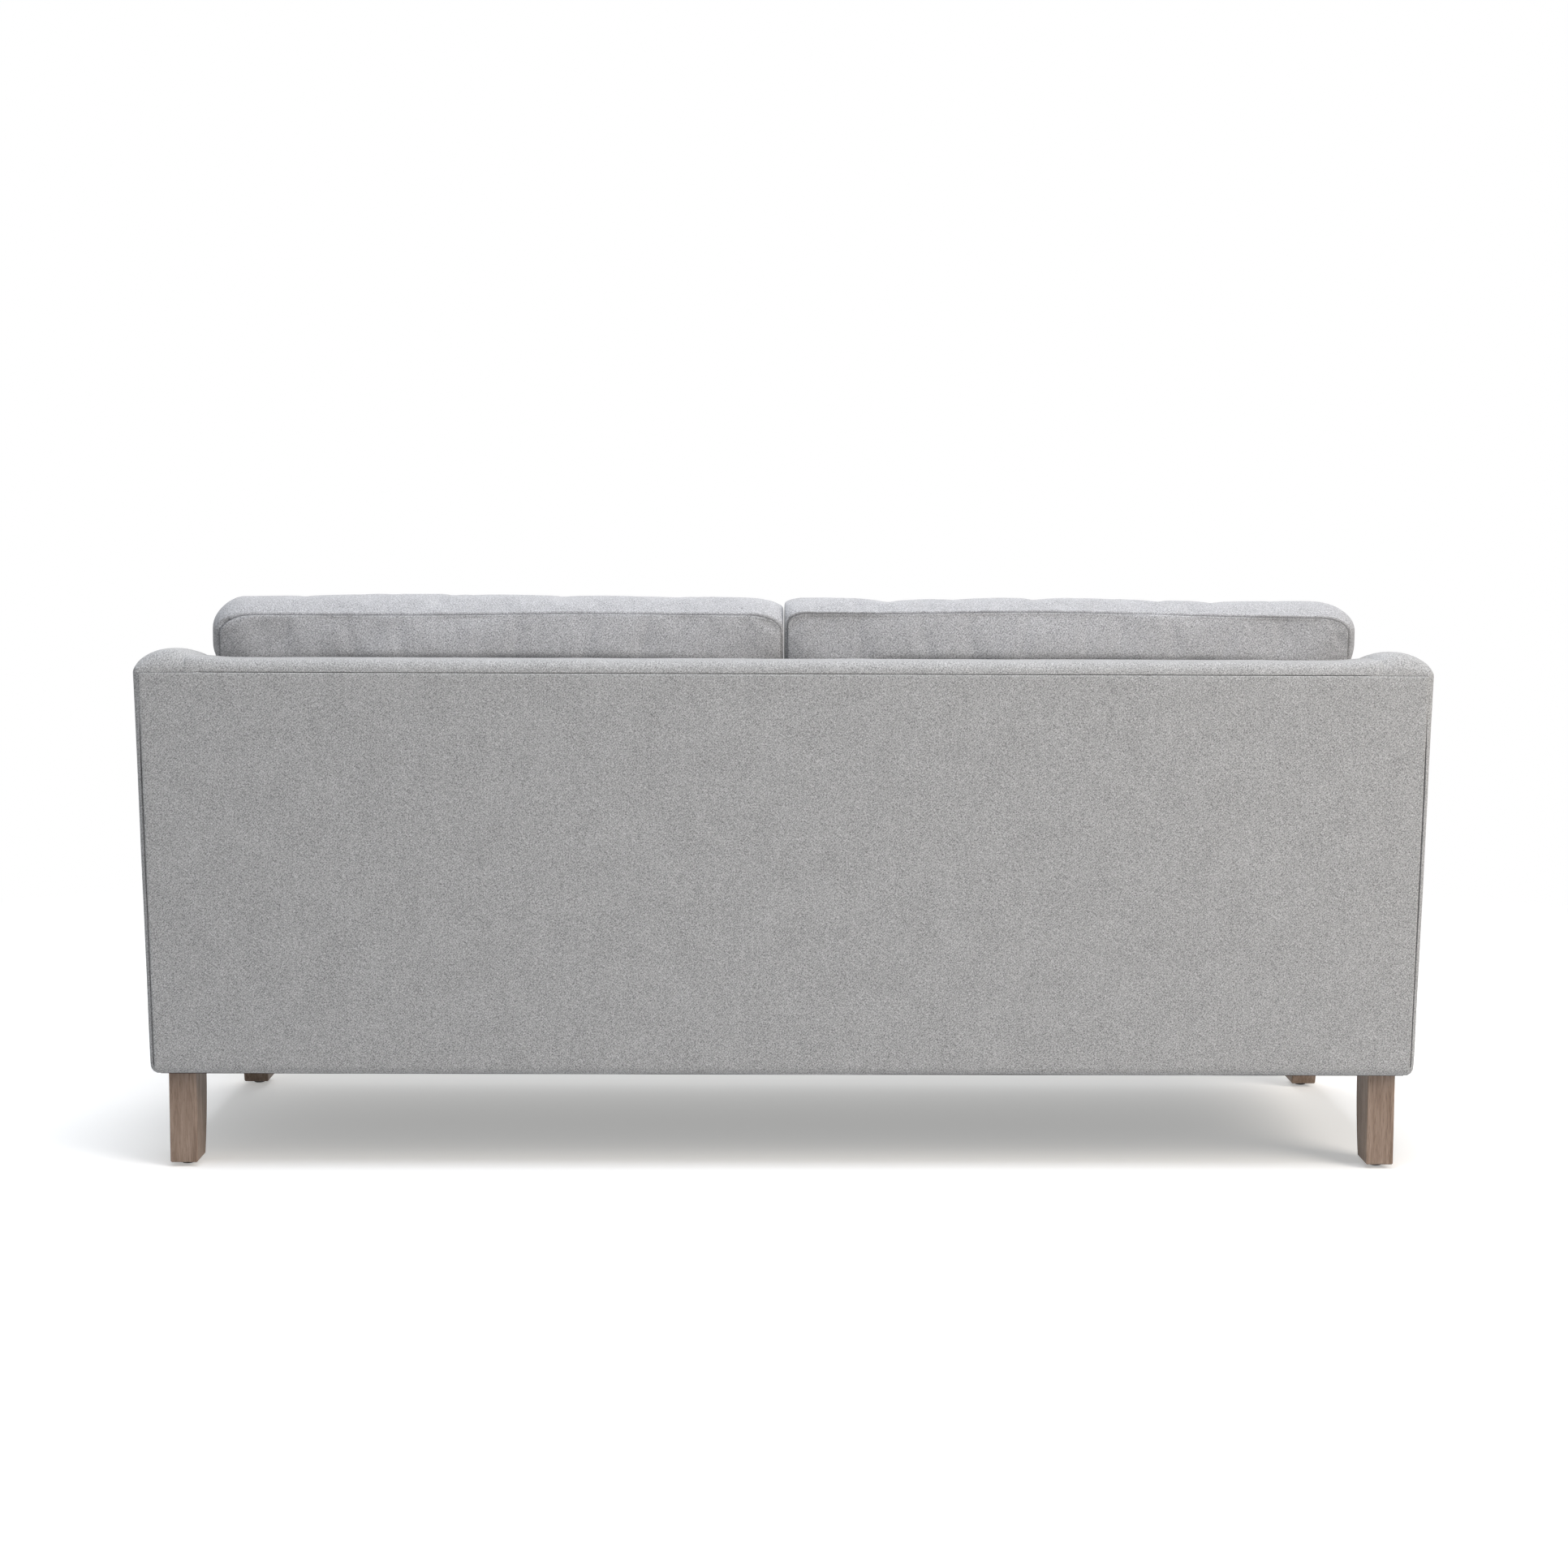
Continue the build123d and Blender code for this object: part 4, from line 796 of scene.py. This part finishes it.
def inflate(piece, pinned, slack, pressure, cap):
    """Fills the sewn cover: a cloth simulation under pressure, its seams and zip held still.

    slack is how much longer the cloth is cut than the form, as a share, and cap is how far any point
    may travel from where it was sewn.
    """
    before = read_places(piece)
    held = piece.vertex_groups.new(name="held")
    held.add([int(i) for i in np.nonzero(pinned)[0]], 1, "REPLACE")
    cloth = piece.modifiers.new("Cloth", "CLOTH")
    cloth.settings.quality = 5
    cloth.settings.mass = 0.3
    cloth.settings.tension_stiffness = 15
    cloth.settings.compression_stiffness = 15
    cloth.settings.shear_stiffness = 5
    cloth.settings.bending_stiffness = 3
    cloth.settings.use_pressure = True
    cloth.settings.uniform_pressure_force = pressure
    cloth.settings.vertex_group_mass = "held"
    cloth.settings.shrink_min = -slack
    cloth.settings.effector_weights.gravity = 0
    cloth.collision_settings.use_collision = False
    cloth.collision_settings.use_self_collision = False
    cloth.point_cache.frame_start = 1
    cloth.point_cache.frame_end = 20
    for step in range(1, 21):
        bpy.context.scene.frame_set(step)
    bpy.ops.object.modifier_apply(modifier="Cloth")
    bpy.context.scene.frame_set(1)
    after = read_places(piece)
    travel = after - before
    far = np.linalg.norm(travel, axis=1)
    eased = cap * np.tanh(far / cap)
    write_places(piece, before + travel * (eased / np.maximum(far, 1e-9))[:, None])
    piece.vertex_groups.clear()


def settle(values, limit, ease=0.004):
    """Brings values down to a limit, easing in so that no hard edge is left where they meet it."""
    over = values - (limit - ease)
    return np.where(over > 0, limit - ease + ease * np.tanh(over / ease), values)


def sewn_box(name, low, high, cell, extra):
    """A gridded box: cells this long, a closer row on both sides of every edge, and extra rows."""
    piece = box_piece(name, low, high)
    for index, axis in enumerate("XYZ"):
        fixed = [low[index] + 0.004, high[index] - 0.004] + extra[index]
        rows = evenly(low[index], high[index], cell)
        rows = [row for row in rows if min(abs(row - other) for other in fixed) > 0.0035]
        cuts(axis, sorted(rows + fixed))
    bpy.ops.object.mode_set(mode="OBJECT")
    return piece


def finish_cushion(piece, seam, free, dents, body, tuck=None):
    """Dents the panels softly, smooths the mesh once, sinks the seams, and dresses the cushion.

    tuck is a place where the seam is pulled in deeper, as a small fold.
    """
    softly = piece.vertex_groups.new(name="free")
    for index in np.nonzero(free > 0)[0]:
        softly.add([int(index)], float(free[index]), "REPLACE")
    cloudy = bpy.data.textures.new(f"{piece.name}_dents", "CLOUDS")
    cloudy.noise_scale = 0.11
    cloudy.noise_depth = 1
    dent = piece.modifiers.new("dents", "DISPLACE")
    dent.texture = cloudy
    dent.texture_coords = "LOCAL"
    dent.vertex_group = "free"
    dent.strength = dents
    dent.mid_level = 0.6
    bpy.ops.object.modifier_apply(modifier="dents")
    # The seam marks also darken the cloth in its material: partly thread colour, and partly painted shade
    # along the seams
    mark = piece.data.attributes.new("seam", "FLOAT", "POINT")
    mark.data.foreach_set("value", seam.astype(float))
    smooth = piece.modifiers.new("smooth", "SUBSURF")
    smooth.levels = 1
    smooth.render_levels = 1
    bpy.ops.object.modifier_apply(modifier="smooth")
    piece.vertex_groups.clear()
    marks = np.empty(len(piece.data.vertices))
    piece.data.attributes["seam"].data.foreach_get("value", marks)
    normals = np.empty(len(marks) * 3)
    piece.data.vertices.foreach_get("normal", normals)
    # marks are 1 on a seam and about 0.5 beside it: the seam sinks, and the cloth beside it stands up
    sink = np.clip((marks - 0.6) / 0.4, 0, 1) * 0.0022
    sink -= np.clip(1 - abs(marks - 0.5) / 0.3, 0, 1) * 0.0005
    places = read_places(piece)
    if tuck:
        away = np.linalg.norm(places[:, (0, 2)] - tuck, axis=1)
        pulled = np.clip(marks / 0.6, 0, 1) * np.exp(-((away / 0.009) ** 2))
        sink += 0.005 * pulled * (places[:, 1] > inner_top - 0.03)
    write_places(piece, places - normals.reshape(-1, 3) * sink[:, None])
    bpy.ops.object.shade_smooth()
    name = body.replace("_cushion", "")
    dress(piece, cushion_cloth, "cushion_cloth", body, f"{name}_cover", f"{name}_filling")


back_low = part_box("back_left_cover")[0].z
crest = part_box("back_top_border")[1].z
band = 0.114
tilt = math.radians(8)
low_seam = back_low + 0.007
top_seam = crest + 0.0645
plain_crest = 0.870
tall = top_seam - low_seam
zip_ends = (0.119, 0.759)
zip_half = 0.0125
zip_margin = 0.002
middle_gap = -0.0006
arm_side = 0.8772
cloth_slack = 0.006
filling_pressure = 4
most_travel = 0.022


def back_plane(z):
    """The y of the inside back at height z."""
    return inner_top + (z - crest) * lean


def zip_rows(low, high):
    """Rows along both sides of a zip's slot."""
    return [low - zip_margin, low, high, high + zip_margin]


def zip_places(along, over, zips, half, on_side):
    """Which places are in a zip or its margin, and which in its slot alone."""
    near_zip = zip_margin + 0.0001
    in_zip = (abs(over - half) < zip_half + near_zip) & on_side
    in_zip &= (along > zips[0] - near_zip) & (along < zips[1] + near_zip)
    slot = in_zip & (abs(over - half) < zip_half + hair)
    slot &= (along > zips[0] - hair) & (along < zips[1] + hair)
    return in_zip, slot


def back_cushion(side, body, end, radii, seam_points, crest_points, tuck=None):
    """A back cushion. end is where its outer seam is.

    radii are its top corners': the one by the middle, and the outer one, behind and in front.
    """
    ends = sorted((side * 0.004, side * end))
    low = (ends[0], 0, 0)
    high = (ends[1], band, tall)
    zips = sorted(side * x for x in zip_ends)
    half = band / 2
    closer = [0.0085, 0.013, 0.0175, 0.022, 0.027, 0.0325, 0.0385]
    extra = [
        zip_rows(*zips) + [ends[0] + x for x in closer] + [ends[1] - x for x in closer],
        zip_rows(half - zip_half, half + zip_half),
        [tall - z for z in closer],
    ]
    piece = sewn_box(f"{body}_cloth", low, high, 0.009, extra)
    places = read_places(piece)
    edge = (places[:, 0] < low[0] + hair) | (places[:, 0] > high[0] - hair)
    edge |= (places[:, 2] < hair) | (places[:, 2] > tall - hair)
    rear = places[:, 1] < hair
    ahead = places[:, 1] > band - hair
    seam = edge & (rear | ahead)
    in_zip, slot = zip_places(places[:, 0], places[:, 1], zips, half, places[:, 2] < hair)
    across = 2 * (places[:, 0] - low[0]) / (high[0] - low[0]) - 1
    front = places[:, 1] / band
    span = np.clip(1 - abs(across) ** 3, 0, 1)
    # From behind to in front the outer corner goes from one pair of radii to the other
    inner, outer_rear, outer_front = radii
    outer = [first + (last - first) * front for first, last in zip(outer_rear, outer_front)]
    tops = (inner, outer) if side > 0 else (outer, inner)
    outward = round_corners(places, 0, 2, low, high, [((0.022, 0.022), corner) for corner in tops])
    # The box leans back as a whole: flat holds the y and z of each place in the leaning box
    share_up = places[:, 2] / tall
    clear = 0.0103 / math.cos(tilt)
    rear_low = np.array([back_plane(low_seam) - clear, low_seam])
    rear_high = np.array([back_plane(top_seam) - clear, top_seam])
    front_low = rear_low - np.array([band / math.cos(tilt), 0])
    front_high = rear_high + np.array([-math.cos(tilt), math.sin(tilt)]) * band
    on_rear = rear_low + (rear_high - rear_low) * share_up[:, None]
    on_front = front_low + (front_high - front_low) * share_up[:, None]
    flat = on_rear + (on_front - on_rear) * front[:, None]
    # Both panels swell, and the rear one hangs over the crest of the sofa's back
    swell = span * np.sin(np.clip(share_up, 0, 1) * math.pi) ** 0.6
    flat[:, 0] += np.where(ahead, -0.008 * swell, 0)
    over_crest = np.exp(-(((flat[:, 1] - crest - 0.004) / 0.034) ** 2))
    flat[:, 0] += np.where(rear, 0.005 * swell + 0.019 * over_crest * span, 0)
    # The band crowns outwards between its two seams
    bulge = np.sin(front * math.pi) * ~(rear | ahead)
    out = np.hypot(0.016 * outward[:, 0], 0.010 * outward[:, 1])
    out += 0.008 * abs(outward[:, 0] * outward[:, 1])
    out *= np.sqrt(bulge)
    out = np.where(outward[:, 1] < 0, 0.007 * np.clip(bulge * 2, 0, 1), out)
    flat[:, 1] += outward[:, 1] * out
    # The top follows the two lines seen in the photograph, the rear seam's and the crest's
    lift = np.clip((share_up - 0.72) / 0.28, 0, 1)
    lift = lift * lift * (3 - 2 * lift)
    flat[:, 1] += lift * (wave(places[:, 0], seam_points) - top_seam) * (1 - front)
    flat[:, 1] += lift * (wave(places[:, 0], crest_points) - plain_crest) * front
    places[:, 0] += outward[:, 0] * out
    places[:, 1:] = flat
    write_places(piece, places)
    edit(piece)
    bpy.ops.mesh.select_all(action="SELECT")
    bpy.ops.mesh.flip_normals()
    bpy.ops.object.mode_set(mode="OBJECT")
    inflate(piece, seam | in_zip, cloth_slack, filling_pressure, most_travel)
    # The arm, the other cushion, the sofa's back and the seat hold it, and above the arm it may widen
    places = read_places(piece)
    above = np.clip((places[:, 2] - 0.775) / 0.025, 0, 1)
    widening = 0.0135 * above * above * (3 - 2 * above)
    places[:, 0] = side * settle(side * places[:, 0], arm_side + widening)
    places[:, 0] = -side * settle(-side * places[:, 0], middle_gap)
    over = np.clip((places[:, 2] - crest + 0.02) / 0.024, 0, 1) ** 2
    places[:, 1] = settle(places[:, 1], back_plane(places[:, 2]) - 0.0012 + 0.024 * over)
    places[:, 2] = -settle(-places[:, 2], -back_low - 0.0001, 0.002)
    places[in_zip, 2] = back_low + 0.0002
    places[slot, 2] = back_low + 0.0062
    write_places(piece, places)
    free = np.where(seam | in_zip, 0, 1) * np.clip((places[:, 2] - 0.60) / 0.1, 0.3, 1)
    free[edge] *= 0.1
    finish_cushion(piece, seam, free, 0.012, body, tuck)


back_cushion(
    1, "back_cushion_left", 0.869, ((0.056, 0.027), (0.056, 0.030), (0.027, 0.040)),
    [(0.06, 0.8492), (0.33, 0.8504), (0.54, 0.8476), (0.84, 0.8472)],
    [(0.06, 0.8730), (0.337, 0.8763), (0.648, 0.8784), (0.84, 0.8738)],
    (0.859, 0.833),
)
back_cushion(
    -1, "back_cushion_right", 0.871, ((0.032, 0.020), (0.046, 0.026), (0.049, 0.044)),
    [(-0.84, 0.8470), (-0.69, 0.8495), (-0.37, 0.8552), (-0.14, 0.8518), (-0.04, 0.8518)],
    [(-0.82, 0.8700), (-0.66, 0.8672), (-0.383, 0.8712), (-0.167, 0.8672), (-0.05, 0.8722)],
)


# Seat cushions
# The same make-up lying down: a top and a bottom panel 106 mm apart, a band between them, and the
# zip along the rear of the band. The deck keeps the bottom flat, and the arms keep the ends in.

seat_low, seat_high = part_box("seat_left_cover")
seat_seams = (seat_low.z + 0.012, seat_high.z - 0.016)


def seat_cushion(side, body):
    """A seat cushion, on this side of the middle."""
    ends = sorted((side * 0.010, side * 0.868))
    low = (ends[0], seat_low.y + 0.006, seat_seams[0])
    high = (ends[1], seat_high.y - 0.006, seat_seams[1])
    zips = sorted(side * x for x in zip_ends)
    half = (seat_seams[0] + seat_seams[1]) / 2
    extra = [zip_rows(*zips), [], zip_rows(half - zip_half, half + zip_half)]
    piece = sewn_box(f"{body}_cloth", low, high, 0.010, extra)
    places = read_places(piece)
    edge = (places[:, 0] < low[0] + hair) | (places[:, 0] > high[0] - hair)
    edge |= (places[:, 1] < low[1] + hair) | (places[:, 1] > high[1] - hair)
    top = places[:, 2] > high[2] - hair
    bottom = places[:, 2] < low[2] + hair
    seam = edge & (top | bottom)
    in_zip, slot = zip_places(places[:, 0], places[:, 2], zips, half, places[:, 1] > high[1] - hair)
    across = 2 * (places[:, 0] - low[0]) / (high[0] - low[0]) - 1
    along = 2 * (places[:, 1] - low[1]) / (high[1] - low[1]) - 1
    swell = np.clip((1 - abs(across) ** 3) * (1 - abs(along) ** 3), 0, 1)
    bulge = np.sin((places[:, 2] - low[2]) / (high[2] - low[2]) * math.pi) * (edge & ~seam)
    outward = round_corners(places, 0, 1, low, high, [((0.034, 0.034), (0.026, 0.026))] * 2)
    places[:, 2] += np.where(top, 0.010 * swell, 0) - np.where(bottom, 0.008 * swell, 0)
    places[:, :2] += outward * 0.006 * bulge[:, None]
    write_places(piece, places)
    inflate(piece, seam | in_zip, cloth_slack, filling_pressure, most_travel)
    places = read_places(piece)
    places[:, 0] = side * settle(side * places[:, 0], arm_side)
    places[:, 0] = -side * settle(-side * places[:, 0], middle_gap)
    places[:, 1] = settle(places[:, 1], seat_high.y - 0.0002)
    places[:, 2] = settle(places[:, 2], seat_high.z - 0.0002, 0.006)
    places[:, 2] = -settle(-places[:, 2], -seat_low.z - 0.0002, 0.002)
    places[in_zip, 1] = seat_high.y - 0.0002
    places[slot, 1] = seat_high.y - 0.0062
    write_places(piece, places)
    free = np.where(seam | in_zip | bottom, 0, 1) * np.clip((0.05 - places[:, 1]) / 0.1, 0.2, 1)
    finish_cushion(piece, seam, free, 0.006, body)


seat_cushion(1, "seat_cushion_left")
seat_cushion(-1, "seat_cushion_right")
